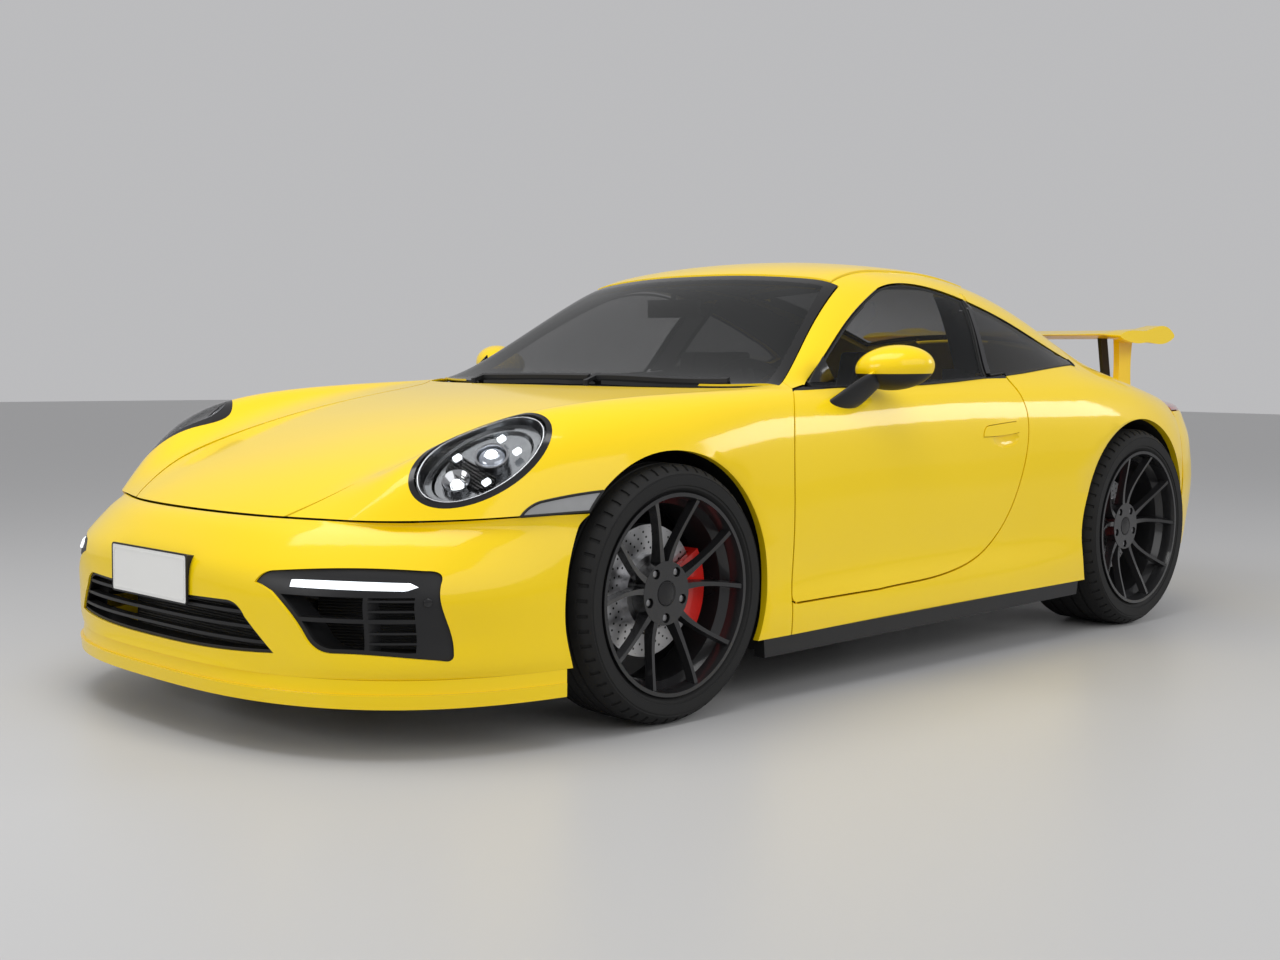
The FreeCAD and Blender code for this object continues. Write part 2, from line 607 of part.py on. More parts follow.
def make_side():
    """Pillars, cant rail, sill and rear quarter of the left side as one pressing."""
    shape = left_slab(10, 35, 1, 12, INWARD_LEFT, 0.0, SIDE_THICKNESS)
    door = prism(grown(DOOR_SHELL, SEAM_GAP), "xz", 500.0, 1200.0)
    glass = prism(grown(SIDE_GLASS, HALF_GAP), "xz", 200.0, 1200.0)
    headers = [box(100, 330, 0, HEADER_HALF_WIDTH + SEAT_CLEARANCE, 900, 1500),
               box(-760, -540, 0, REAR_HEADER_HALF_WIDTH + SEAT_CLEARANCE, 900, 1500)]
    shape = shape.cut([door, glass, REAR_ARCH, REAR_BAND] + ROOF_OPENING + WINDSCREEN_OPENING)
    shape = shape.cut(REAR_OPENING + LID_OPENING)
    shape = shape.cut(headers)
    shape = shape.cut([make_fender_zone(), box(-2400, QUARTER_REAR_X, 0, 1200, 0, TAIL_SEAM_Z + HALF_GAP)])
    front, rear = (1200, sill_height(1200)), (-2400, sill_height(-2400))
    sill = [[front, rear], [rear, (-2400, 1400)], [(-2400, 1400), (1200, 1400)], [(1200, 1400), front]]
    shape = largest(shape.common(prism(sill, "xz", 5.0, 1200.0)))
    pivot = Part.makeCylinder(DOOR_PIN_R, DOOR_PIN_TOP_Z - 250.0, Vector(DOOR_HINGE_X, DOOR_HINGE_Y, 250))
    return largest(shape.fuse(pivot).cut(side_pillar(SEAT_CLEARANCE)))


DOOR_HINGE_X = 765.0
DOOR_HINGE_Y = 893.0
DOOR_PIN_R = 3.0
DOOR_PIN_TOP_Z = 284.0


def largest(shape):
    return max(shape.Solids, key=lambda s: s.Volume)


def make_fender_zone():
    """Block that holds the front wing, ahead of the door and of the windscreen's foot."""
    line = grown(DOOR_SHELL, 0.0)[1]
    region = [[(2600, 1300), start_above(line[0])], [start_above(line[0]), line[0]], line,
              [line[-1], (line[-1][0], 0)], [(line[-1][0], 0), (2600, 0)], [(2600, 0), (2600, 1300)]]
    return prism(region, "xz", 100.0, 1200.0)


def pillar_zone(low, high, front_margin, rear_margin):
    """Leaning band of the pillar in side view between two heights, with a margin each side."""
    half = PILLAR_WIDTH / 2
    points = [(pillar_x(low) - half - rear_margin, low), (pillar_x(low) + half + front_margin, low),
              (pillar_x(high) + half + front_margin, high), (pillar_x(high) - half - rear_margin, high)]
    return [[points[k], points[(k + 1) % 4]] for k in range(4)]


def side_pillar(margin=0.0):
    """Black pillar between the door glass and the rear side glass, down to the floor inside the door."""
    patch = left_slab(15, 35, 3, 7, Vector(0, -1, 0), -margin, PILLAR_DEPTH + 2 * margin)
    upper = patch.common(prism(pillar_zone(DOOR_TOP_Z, 1185.0, margin, margin), "xz", 200.0, 1200.0))
    foot_x = pillar_x(DOOR_TOP_Z)
    half = PILLAR_WIDTH / 2
    face_y = DOOR_INNER_Y - 6
    post = box(foot_x - 60 - margin, foot_x + half + margin, face_y - 84 - margin, face_y + margin,
               FLOOR_TOP, DOOR_TOP_Z + 14 + margin)
    buffer = Part.makeCylinder(10, DOOR_INNER_Y - SEAT_CLEARANCE - face_y, Vector(foot_x - 20, face_y, 560),
                               Vector(0, 1, 0))
    return largest(upper.fuse([post, buffer]))


def make_door():
    """Door shell: outer skin to inner trim as one block, hollowed by its pocket."""
    patch = [row[4:13] for row in HALF_GRID[10:27]]
    block = slab(patch, shifted(patch, Vector(0, -400, 0)))
    shape = block.common(prism(grown(DOOR_SHELL, -MOVING_MARGIN), "xz", DOOR_INNER_Y, 1200.0))
    pocket = box(-230, 560, DOOR_INNER_Y - 10, DOOR_INNER_Y + 55, 340, 470)
    rest = Part.makeBox(560, 46, 60, Vector(-250, DOOR_INNER_Y - 45, 640))
    rest = rest.makeFillet(18.0, [e for e in rest.Edges if abs(e.tangentAt(e.FirstParameter).x) > 0.9])
    bore = Part.makeCylinder(DOOR_PIN_R + RUNNING_CLEARANCE, DOOR_PIN_TOP_Z - 250.0 + 1.0,
                             Vector(DOOR_HINGE_X, DOOR_HINGE_Y, 250))
    bed = left_slab(10, 27, 4, 12, INWARD_LEFT, -20.0, 34.0)
    bed = bed.common(prism(grown(HANDLE, HANDLE_GAP), "xz", 700.0, 1000.0))
    grip = left_slab(10, 27, 4, 12, INWARD_LEFT, -3.0, 30.0).common(prism(HANDLE, "xz", 700.0, 1000.0))
    scoop = Part.makeSphere(1.0).transformGeometry(
        FreeCAD.Matrix(78, 0, 0, -318, 0, 16, 0, 886, 0, 0, 30, 704))
    return largest(shape.cut([pocket, bore, scoop, bed]).fuse([rest, grip]).common(door_swing()))


def door_swing():
    """Room within reach of the door's rear edge about its pivot, so that its inner edge clears the side."""
    rear = DOOR_SHELL[3:6]
    end = rear[-1][-1]
    top, foot = (DOOR_HINGE_X, end[1]), (DOOR_HINGE_X, rear[0][0][1])
    wire = outline_wire(rear + [[end, top], [top, foot], [foot, rear[0][0]]], "xz", DOOR_HINGE_Y)
    return Part.Face(wire).revolve(Vector(DOOR_HINGE_X, DOOR_HINGE_Y, 0), Vector(0, 0, 1), 360)


HANDLE_GAP = 2.0
HANDLE = [
    [(-196, 712), (-204, 734), (-232, 746)], [(-232, 746), (-310, 752), (-386, 757)],
    [(-386, 757), (-398, 742), (-396, 722)], [(-396, 722), (-300, 714), (-196, 712)]]


def make_door_glass(door):
    """Door glass, whose foot stands on the door."""
    patch = left_slab(10, 29, 2, 7, INWARD_LEFT, GLASS_INSET, GLASS_THICKNESS)
    pane = prism(grown(SIDE_GLASS, -GLASS_GAP), "xz", 200.0, 1200.0)
    foot = pane.translated(Vector(0, 0, SEAT_CLEARANCE - GLASS_GAP))
    shape = patch.common(pane.fuse(foot))
    behind = pillar_zone(840.0, 1260.0, GLASS_GAP, 900.0)
    corner = box(GLASS_FRONT_X, 700, 500, 900, 800, 1000)
    return largest(shape.cut([prism(behind, "xz", 200.0, 1200.0), corner, door]))


GLASS_FRONT_X = 570.0


def make_quarter_window():
    patch = left_slab(15, 35, 2, 7, INWARD_LEFT, GLASS_INSET, GLASS_THICKNESS)
    shape = patch.common(prism(grown(SIDE_GLASS, HALF_GAP - SEAT_CLEARANCE), "xz", 200.0, 1200.0))
    front = pillar_zone(840.0, 1260.0, 1500.0, SEAT_CLEARANCE)
    door = prism(grown(DOOR_SHELL, SEAM_GAP), "xz", 200.0, 1200.0)
    return clean(shape.cut([prism(front, "xz", 200.0, 1200.0), door]))


# Bumpers: plan curves that round the corners, stacked from the seam down

def corner_point(level, turn, centre_x):
    """Point of a level's plan curve, a rounded corner, at a turn from the car's centre line."""
    height, end_x, half_width, power = level
    c, s = math.cos(turn), math.sin(turn)
    reach = (abs(c) ** power + abs(s) ** power) ** (-1.0 / power)
    return Vector(centre_x + (end_x - centre_x) * reach * c, half_width * reach * s, height)


def seam_points(surface, columns, height_at, rows):
    """Points of the whole skin where it crosses a seam height, one for each column value."""
    points = []
    for v in columns:
        low, high = rows
        for _ in range(40):
            mid = (low + high) / 2
            p = surface.value(mid, v)
            if p.z < height_at(p.x):
                low = mid
            else:
                high = mid
        points.append(surface.value(high, v))
    return points


def bumper_grid(top, levels, centre_x, corner_width):
    """Rows of points from the seam down, each point under the seam point it starts from."""
    rows = [top]
    for level in levels:
        row = []
        for p in top:
            turn = math.atan2(p.y / corner_width, abs(p.x - centre_x) / abs(top[len(top) // 2].x - centre_x))
            row.append(corner_point(level, turn, centre_x))
        rows.append(row)
    return rows


def through(points):
    surface = Part.BSplineSurface()
    surface.interpolate(points)
    return surface


def drawn_in(points, depth, centre_x):
    """The same rows of points moved toward the car by a depth, level by level."""
    out = []
    for row in points:
        out.append([p - Vector(p.x - centre_x, p.y, 0).normalize() * depth for p in row])
    return out


def wall(points, thickness, centre_x, start=0.0):
    """Wall behind the points of a bumper's face, from a starting depth."""
    outer_points = drawn_in(points, start, centre_x)
    inner_points = drawn_in(points, start + thickness, centre_x)
    a, b = through(outer_points).toShape(), through(inner_points).toShape()
    rims = []
    for picks in (lambda g: g[0], lambda g: g[-1],
                  lambda g: [r[0] for r in g], lambda g: [r[-1] for r in g]):
        edges = []
        for face, rows in ((a, outer_points), (b, inner_points)):
            ends = picks(rows)
            middle = Part.Vertex(ends[len(ends) // 2])
            edges.append(min(face.Edges, key=lambda e: e.distToShape(middle)[0]))
        rims.append(Part.makeRuledSurface(edges[0], edges[1]))
    return solid_of([a, b] + rims)


SKIN = skin_surface(WHOLE_GRID)
FRONT_TURN_X = 1400.0
FRONT_COLUMNS = [3.2, 3.5, 4.0, 4.6, 5.3, 6.1, 7.0, 8.0, 9.0, 10.0]
FRONT_LEVELS = [
    (528, 2180, 893, 2.35), (500, 2206, 896, 2.45), (470, 2230, 898, 2.55), (435, 2249, 899, 2.7),
    (390, 2255, 900, 2.85), (330, 2255, 900, 2.85), (270, 2252, 899, 2.85), (205, 2246, 897, 2.85),
    (148, 2240, 893, 2.85)]
TAIL_TURN_X = -1330.0
TAIL_COLUMNS = [4.95, 5.1, 5.3, 5.6, 6.0, 6.6, 7.4, 8.3, 9.2, 10.1]
TAIL_LEVELS = [
    (800, -2192, 817, 2.2), (776, -2208, 850, 2.2), (735, -2224, 868, 2.2), (690, -2238, 884, 2.2),
    (620, -2249, 896, 2.2), (540, -2256, 903, 2.2), (430, -2257, 898, 2.2), (340, -2240, 889, 2.2),
    (270, -2215, 884, 2.2), (200, -2190, 876, 2.2)]
BUMPER_FOOT_Z = 192.0
LIP_FOOT_Z = 124.0
LIP_STEP_Z = 158.0

SIDE_INTAKE = [
    [(424, 410), (440, 430), (470, 440)], [(470, 440), (553, 448), (679, 453), (762, 448)],
    [(762, 448), (784, 442), (794, 418)], [(794, 418), (806, 335), (814, 250)],
    [(814, 250), (810, 238), (795, 238)], [(795, 238), (745, 247), (625, 254)],
    [(625, 254), (585, 262), (560, 288)], [(560, 288), (528, 339), (474, 392)],
    [(474, 392), (450, 402), (424, 410)]]
CENTRE_INTAKE = [
    [(0, 352), (180, 357), (330, 360)], [(330, 360), (372, 350), (395, 325)], [(395, 325), (478, 244)],
    [(478, 244), (250, 233), (0, 230), (-250, 233), (-478, 244)], [(-478, 244), (-395, 325)],
    [(-395, 325), (-372, 350), (-330, 360)], [(-330, 360), (-180, 357), (0, 352)]]


def both_columns(columns, last):
    return columns + [last] + [2 * last - v for v in reversed(columns)]


def front_points():
    top = seam_points(SKIN, both_columns(FRONT_COLUMNS, MIDDLE - 1.0), front_seam_height, (0.0, 8.0))
    return bumper_grid(top, FRONT_LEVELS, FRONT_TURN_X, 890.0)


def tail_points():
    top = seam_points(SKIN, both_columns(TAIL_COLUMNS, MIDDLE - 1.0), lambda x: TAIL_SEAM_Z,
                      (len(HALF_GRID) - 3.0, 26.0))
    return bumper_grid(top, TAIL_LEVELS, TAIL_TURN_X, 830.0)


FRONT_POINTS = front_points()
TAIL_POINTS = tail_points()


def make_front_bumper():
    skin = wall(FRONT_POINTS, BUMPER_THICKNESS, FRONT_TURN_X)
    left = prism(SIDE_INTAKE, "yz", 1700.0, 2500.0)
    centre = prism(CENTRE_INTAKE, "yz", 1900.0, 2500.0)
    bottom = box(1300, 2500, -1200, 1200, 0, BUMPER_FOOT_Z)
    skin = skin.cut([left, mirrored(left), centre, bottom, FRONT_ARCH, mirrored(FRONT_ARCH),
                     ABOVE_FRONT_SEAM])
    return clean(skin)


def frame_ring(outline, margin, width):
    """Ring that lines an opening: from a margin outside its edge to a width inside it."""
    outer = prism(grown(outline, margin), "yz", 1600.0, 2500.0)
    return outer.cut(prism(grown(outline, -width), "yz", 1500.0, 2600.0))


def make_intake_inserts():
    """Black frames, blades and slats behind the openings of the front bumper."""
    lining = wall(FRONT_POINTS, 7.0, FRONT_TURN_X, BUMPER_THICKNESS + SEAT_CLEARANCE)
    deep = wall(FRONT_POINTS, 60.0, FRONT_TURN_X, BUMPER_THICKNESS + SEAT_CLEARANCE)
    blades = wall(FRONT_POINTS, 26.0, FRONT_TURN_X, BUMPER_THICKNESS + SEAT_CLEARANCE)
    ring = lining.common(frame_ring(SIDE_INTAKE, 14.0, 10.0))
    sleeve = deep.common(frame_ring(SIDE_INTAKE, 0.0, 5.0))
    inside = prism(grown(SIDE_INTAKE, 2.0), "yz", 1600.0, 2500.0)
    panel = lining.common(inside).common(box(1600, 2500, 762, 830, 200, 460))
    bar_seat = lining.common(inside).common(box(1600, 2500, 400, 830, LIGHT_BAR_Z - 26, 460))
    blade = blades.common(inside).common(box(1600, 2500, 400, 800, 326, 336))
    slats = [blades.common(inside).common(box(1600, 2500, 682, 790, z, z + 5)) for z in SLAT_HEIGHTS]
    post = blades.common(inside).common(box(1600, 2500, 680, 688, 200, 460))
    side = largest(ring.fuse([sleeve, panel, bar_seat, blade, post] + slats))
    mid_ring = lining.common(frame_ring(CENTRE_INTAKE, 12.0, 8.0))
    mid_sleeve = deep.common(frame_ring(CENTRE_INTAKE, 0.0, 5.0))
    mid_inside = prism(grown(CENTRE_INTAKE, 2.0), "yz", 1600.0, 2500.0)
    mid_blades = [blades.common(mid_inside).common(box(1600, 2500, -480, 480, z, z + 8)) for z in (262, 296, 330)]
    centre = largest(mid_ring.fuse([mid_sleeve] + mid_blades))
    low = box(1500, 2500, -1200, 1200, 0, BUMPER_FOOT_Z)
    bar = light_bar_block(SEAT_CLEARANCE)
    shapes = [largest(side.cut([low, FRONT_ARCH, bar])), largest(centre.cut(low))]
    return Part.makeCompound([shapes[0], mirrored(shapes[0]), shapes[1]])


LIGHT_BAR_Z = 413.0
SLAT_HEIGHTS = [252.0, 276.0, 300.0, 352.0, 376.0]


def light_bar_block(margin):
    """Outline of the left light bar with a margin, as a block across the bumper's face."""
    half = 9.0 + margin
    runs = [[(523 - margin, LIGHT_BAR_Z - half + 2), (523 - margin, LIGHT_BAR_Z + half)],
            [(523 - margin, LIGHT_BAR_Z + half), (640, LIGHT_BAR_Z + half + 1), (748 + margin, LIGHT_BAR_Z + half - 2)],
            [(748 + margin, LIGHT_BAR_Z + half - 2), (762 + margin, LIGHT_BAR_Z - 2)],
            [(762 + margin, LIGHT_BAR_Z - 2), (748 + margin, LIGHT_BAR_Z - half - 1)],
            [(748 + margin, LIGHT_BAR_Z - half - 1), (640, LIGHT_BAR_Z - half + 1), (523 - margin, LIGHT_BAR_Z - half + 2)]]
    return prism(runs, "yz", 1600.0, 2500.0)


def make_light_bars():
    """Slim lamp along the upper edge of each outer intake."""
    body = wall(FRONT_POINTS, 16.0, FRONT_TURN_X, 1.0).common(light_bar_block(0.0))
    return both_sides(largest(body))


def lip_band(top_z, foot_z, out_top, out_foot, depth):
    """Band of the front lip between two heights, standing out from the bumper's plan curve."""
    outer, inner = [], []
    for share in (0.0, 0.25, 0.5, 1.0):
        height = top_z + (foot_z - top_z) * share
        out = out_top + (out_foot - out_top) * share
        level = (height, 2243.0 + out, 894.0 + out * 0.4, 2.85)
        outer_row, inner_row = [], []
        for k in range(-12, 13):
            turn = k * LIP_TURN / 12
            point = corner_point(level, turn, FRONT_TURN_X)
            away = Vector(point.x - FRONT_TURN_X, point.y, 0).normalize()
            outer_row.append(point)
            inner_row.append(point - away * depth)
        outer.append(outer_row)
        inner.append(inner_row)
    return slab(outer, inner)


LIP_TURN = 1.30


def make_front_lip():
    upper = lip_band(BUMPER_FOOT_Z - SEAT_CLEARANCE, LIP_STEP_Z, 2.0, 6.0, 30.0)
    lower = lip_band(LIP_STEP_Z, LIP_FOOT_Z, 14.0, 10.0, 46.0)
    shape = joined(upper, lower)
    return clean(shape.cut([FRONT_ARCH, mirrored(FRONT_ARCH)]))


TAILPIPE_R = 48.0
TAILPIPE_GAP = 8.0
TAILPIPE_Y = 330.0
TAILPIPE_Z = 330.0


def make_rear_bumper():
    skin = wall(TAIL_POINTS, BUMPER_THICKNESS, TAIL_TURN_X)
    front = QUARTER_REAR_X - SEAM_GAP
    light_foot = TAIL_SEAM_Z - TAIL_LIGHT_HEIGHT - HALF_GAP
    keep = box(-2400, front, -1200, 1200, TAIL_FOOT_Z, light_foot)
    rib = wall(TAIL_POINTS, 14.0, TAIL_TURN_X, BUMPER_THICKNESS / 2)
    rib = rib.common(box(front - 25, QUARTER_REAR_X - SEAT_CLEARANCE, -1200, 1200, 520, light_foot))
    pipes = [Part.makeCylinder(TAILPIPE_R + TAILPIPE_GAP, 600, Vector(-2400, y, TAILPIPE_Z), Vector(1, 0, 0))
             for y in (-TAILPIPE_Y, TAILPIPE_Y)]
    skin = skin.common(keep).fuse(rib.Solids).cut(pipes + [REAR_ARCH, mirrored(REAR_ARCH)])
    return largest(skin)


TAIL_FOOT_Z = 252.0


def make_tail_light():
    """Lamp band across the tail, hooked behind the bumper's upper edge."""
    low, high = TAIL_SEAM_Z - TAIL_LIGHT_HEIGHT + HALF_GAP, TAIL_SEAM_Z - HALF_GAP
    face = wall(TAIL_POINTS, 2 * BUMPER_THICKNESS, TAIL_TURN_X)
    face = face.common(box(-2400, QUARTER_REAR_X - SEAM_GAP, -1200, 1200, low, high))
    hook = wall(TAIL_POINTS, BUMPER_THICKNESS, TAIL_TURN_X, BUMPER_THICKNESS + SEAT_CLEARANCE)
    hook = hook.common(box(-2400, -1700, -1200, 1200, low - 14, low + 10))
    return largest(face.fuse(hook.Solids))


def make_diffuser():
    """Black underbody panel of the tail, with fins, below the rear bumper."""
    plan = [[(-1640, -780), (-1640, 780)], [(-1640, 780), (-1850, 725), (-2050, 550), (-2150, 320)],
            [(-2150, 320), (-2165, 0), (-2150, -320)],
            [(-2150, -320), (-2050, -550), (-1850, -725), (-1640, -780)]]
    panel = prism(plan, "xy", TAIL_FOOT_Z - 20.0, TAIL_FOOT_Z - SEAT_CLEARANCE)
    panel = panel.cut(box(ENGINE_REAR_X - SEAT_CLEARANCE, -1600, -ENGINE_HALF_WIDTH - SEAT_CLEARANCE,
                          ENGINE_HALF_WIDTH + SEAT_CLEARANCE, 0, 400))
    fins = [box(-2140, -1975, y - 4, y + 4, 180, 240) for y in (-240, -80, 80, 240)]
    return joined(panel, *fins)


def make_skirt():
    """Black strip under the left sill."""
    front, rear = 905.0, -772.0
    gap = SEAT_CLEARANCE
    side = [[(front - 5, SKIRT_FRONT_Z), (rear, SKIRT_REAR_Z)],
            [(rear, SKIRT_REAR_Z), (rear - 10, sill_height(rear) - gap)],
            [(rear - 10, sill_height(rear) - gap), (front, sill_height(front) - gap)],
            [(front, sill_height(front) - gap), (front - 5, SKIRT_FRONT_Z)]]
    return prism(side, "xz", SILL_BOX_Y + gap, 896.0)


SKIRT_FRONT_Z = 130.0
SKIRT_REAR_Z = 150.0
SILL_BOX_Y = 858.0


# Lamps

def make_headlamp():
    """Black bezel and bowl of the left headlamp with two projector barrels."""
    block = left_slab(0, 12, 2, 12, LAMP_AXIS * -1, 0.0, LAMP_DEPTH)
    deep = left_slab(0, 12, 2, 12, LAMP_AXIS * -1, -30.0, 30.0 + LAMP_DEPTH - 6.0)
    floor = block.common(lamp_oval(0.0)).cut(deep.common(lamp_oval(-LAMP_BEZEL)))
    barrels = []
    for along, r in ((-62.0, 38.0), (78.0, 34.0)):
        foot = LAMP_CENTRE + LAMP_LONG * along - LAMP_AXIS * (LAMP_DEPTH - 2.0)
        barrels.append(Part.makeCylinder(r, 52.0, foot, LAMP_AXIS))
    return largest(floor.fuse(barrels))


def make_lens():
    """Clear cover of the left headlamp, flush with the wing."""
    cover = left_slab(0, 12, 2, 12, LAMP_AXIS * -1, 0.0, 4.0)
    return clean(cover.common(lamp_oval(-LAMP_BEZEL - SEAT_CLEARANCE)))


# Wheels

def revolved(points, axis_x, axis_z):
    """Ring about a wheel's axle from a closed outline of (radius, y)."""
    wire = Part.makePolygon([Vector(axis_x, y, axis_z + r) for r, y in points + [points[0]]])
    face = Part.Face(wire)
    return face.revolve(Vector(axis_x, 0, axis_z), Vector(0, 1, 0), 360)


def make_tyre(x, y, radius, width, rim_radius, rim_width):
    """Low tyre with a flat tread, round shoulders and slightly bulged walls."""
    half = width / 2
    seat = rim_width / 2 - FLANGE_WIDTH - SEAT_CLEARANCE
    bead = rim_radius - FLANGE_HEIGHT
    shoulder = 34.0
    sides = []
    for sign in (1, -1):
        wall_points = [(seat, bead), (seat + 3, rim_radius + 2), (half - 3, rim_radius + 16),
                       (half, (bead + radius) / 2 + 6), (half - 9, radius - shoulder * 0.55),
                       (half - shoulder, radius - 1.5)]
        sides.append([Vector(x, y + sign * w, radius + r) for w, r in wall_points])
    edges = []
    for points in sides:
        curve = Part.BSplineCurve()
        curve.interpolate(points)
        edges.append(curve.toShape())
    crown = Part.Arc(sides[0][-1], Vector(x, y, 2 * radius), sides[1][-1]).toShape()
    seat_line = Part.makeLine(sides[0][0], sides[1][0])
    face = Part.Face(Part.Wire(Part.__sortEdges__([edges[0], crown, edges[1], seat_line])))
    return face.revolve(Vector(x, 0, radius), Vector(0, 1, 0), 360)


FLANGE_WIDTH = 14.0
FLANGE_HEIGHT = 8.0


def make_rim(x, y, tyre_radius, rim_radius, width, depth):
    """Forged rim: barrel, hub and ten spokes that leave the hub in pairs."""
    half = width / 2
    bead = rim_radius - FLANGE_HEIGHT - SEAT_CLEARANCE
    wall_t = 7.0
    profile = [(rim_radius, half), (rim_radius, half - 8), (bead, half - FLANGE_WIDTH), (bead, half - 40),
               (bead - 16, half - 62), (bead - 16, -half + 62), (bead, -half + 40), (bead, -half + FLANGE_WIDTH),
               (rim_radius, -half + 8), (rim_radius, -half), (rim_radius - 10, -half),
               (bead - wall_t, -half + 20), (bead - wall_t, -half + 44),
               (bead - 16 - wall_t, -half + 66), (bead - 16 - wall_t, half - 66),
               (bead - wall_t, half - 44), (bead - wall_t, half - 20), (rim_radius - 10, half)]
    barrel = revolved([(r, y + w) for r, w in profile], x, tyre_radius)
    face_y = y + half - depth
    hub = Part.makeCylinder(HUB_R, HUB_DEPTH, Vector(x, face_y - HUB_DEPTH, tyre_radius), Vector(0, 1, 0))
    spokes = []
    for pair in range(5):
        for sign in (-1, 1):
            spokes.append(spoke(x, y, tyre_radius, pair * 72.0 + 90.0, sign, bead - wall_t, half, depth))
    body = barrel.fuse([hub] + spokes)
    for k in range(5):
        angle = math.radians(k * 72.0 + 90.0 + 36.0)
        at = Vector(x + LUG_CIRCLE_R * math.cos(angle), face_y - HUB_DEPTH - 1,
                    tyre_radius + LUG_CIRCLE_R * math.sin(angle))
        body = body.cut(Part.makeCylinder(LUG_HOLE_R, HUB_DEPTH + 60, at, Vector(0, 1, 0)))
    bore = Part.makeCylinder(CAP_R, 14, Vector(x, face_y - 8, tyre_radius), Vector(0, 1, 0))
    return largest(body.cut(bore))


def spoke(x, y, axle_z, angle, sign, outer_r, half, depth):
    """One spoke, from its root beside its twin to the rim's front edge."""
    sections = []
    for share, spread, wide, back, front in (
            (0.0, 10.0, 15.0, depth + HUB_DEPTH - 6, depth + 1.0), (0.3, 11.5, 11.0, depth + 22, depth - 4.0),
            (0.65, 15.0, 8.5, depth * 0.62 + 20, depth * 0.62 - 4.0), (1.0, 18.0, 10.0, 30.0, 5.0)):
        r = SPOKE_ROOT_R + (outer_r + 3.0 - SPOKE_ROOT_R) * share
        a = math.radians(angle + sign * spread)
        ray = Vector(math.cos(a), 0, math.sin(a))
        across = Vector(-math.sin(a), 0, math.cos(a))
        centre = Vector(x, 0, axle_z) + ray * r
        corners = []
        for side, at, w in ((-1, back, 1.0), (-1, front, 0.62), (1, front, 0.62), (1, back, 1.0)):
            corners.append(centre + across * (side * wide * w) + Vector(0, y + half - at, 0))
        sections.append(Part.makePolygon(corners + [corners[0]]))
    return Part.makeLoft(sections, True, False)


HUB_R = 84.0
HUB_DEPTH = 46.0
CAP_R = 34.0
LUG_CIRCLE_R = 65.0
LUG_HOLE_R = 13.0
SPOKE_ROOT_R = 62.0


def make_disc(x, y, axle_z, radius):
    """Brake disc with its bell, seated against the back of the rim's hub."""
    face = y
    half = DISC_THICKNESS / 2
    bore = SPINDLE_R + RUNNING_CLEARANCE
    front, back = face - DISC_OFFSET + half, face - DISC_OFFSET - half
    profile = [(radius, front), (radius, back), (radius * 0.6, back), (radius * 0.6, back + 12),
               (92, back + 12), (92, face - 8), (bore, face - 8), (bore, face), (100, face), (100, front)]
    return revolved(profile, x, axle_z)


def make_caliper(x, y, axle_z, radius, centre_angle):
    """Caliper that straddles the disc's rim over a stretch of its edge."""
    face = y
    inner, outer = radius * 0.62, radius + 22.0
    slot, half = DISC_OFFSET, CALIPER_HALF_WIDTH
    profile = [(outer, face - slot - half), (outer, face - slot + half), (inner, face - slot + half),
               (inner, face - slot + 22), (radius + 5, face - slot + 22), (radius + 5, face - slot - 22),
               (inner, face - slot - 22), (inner, face - slot - half)]
    wire = Part.makePolygon([Vector(x, w, axle_z + r) for r, w in profile + [profile[0]]])
    ring = Part.Face(wire)
    ring.rotate(Vector(x, 0, axle_z), Vector(0, 1, 0), 90.0 - centre_angle - CALIPER_SWEEP / 2)
    return ring.revolve(Vector(x, 0, axle_z), Vector(0, 1, 0), CALIPER_SWEEP)


CALIPER_SWEEP = 62.0
DISC_THICKNESS = 34.0
FRONT_SPOKE_DEPTH = 42.0
REAR_SPOKE_DEPTH = 58.0
FRONT_HUB_FACE_Y = FRONT_WHEEL_Y + FRONT_RIM_WIDTH / 2 - FRONT_SPOKE_DEPTH - HUB_DEPTH
REAR_HUB_FACE_Y = REAR_WHEEL_Y + REAR_RIM_WIDTH / 2 - REAR_SPOKE_DEPTH - HUB_DEPTH


def make_knuckle():
    """Left front wheel carrier: hub bearing, upright, lower pin, caliper bracket and steering arm."""
    x, z = FRONT_AXLE_X, FRONT_TYRE_R
    face = FRONT_HUB_FACE_Y - 8.0 - SEAT_CLEARANCE
    bearing = Part.makeCylinder(56, face - KINGPIN_Y + 20, Vector(x, KINGPIN_Y - 20, z), Vector(0, 1, 0))
    upright = Part.makeCylinder(28, 250, Vector(x, KINGPIN_Y, z - 120), Vector(0, 0, 1))
    pin = Part.makeCylinder(BALL_PIN_R, 40, Vector(x, KINGPIN_Y, z - 155), Vector(0, 0, 1))
    bracket = box(x - 150, x, KINGPIN_Y - 6, CALIPER_INNER_Y, z - 55, z + 55)
    arm = box(x, x + 150, KINGPIN_Y - 16, KINGPIN_Y + 6, z - 34, z - 8)
    spindle = Part.makeCylinder(SPINDLE_R, 60, Vector(x, FRONT_HUB_FACE_Y - 60 - SEAT_CLEARANCE, z), Vector(0, 1, 0))
    return joined(bearing, upright, pin, arm, bracket, spindle)


SPINDLE_R = 36.0


BALL_PIN_R = 14.0
CALIPER_HALF_WIDTH = 40.0
DISC_OFFSET = 43.0
CALIPER_INNER_Y = FRONT_HUB_FACE_Y - DISC_OFFSET - CALIPER_HALF_WIDTH


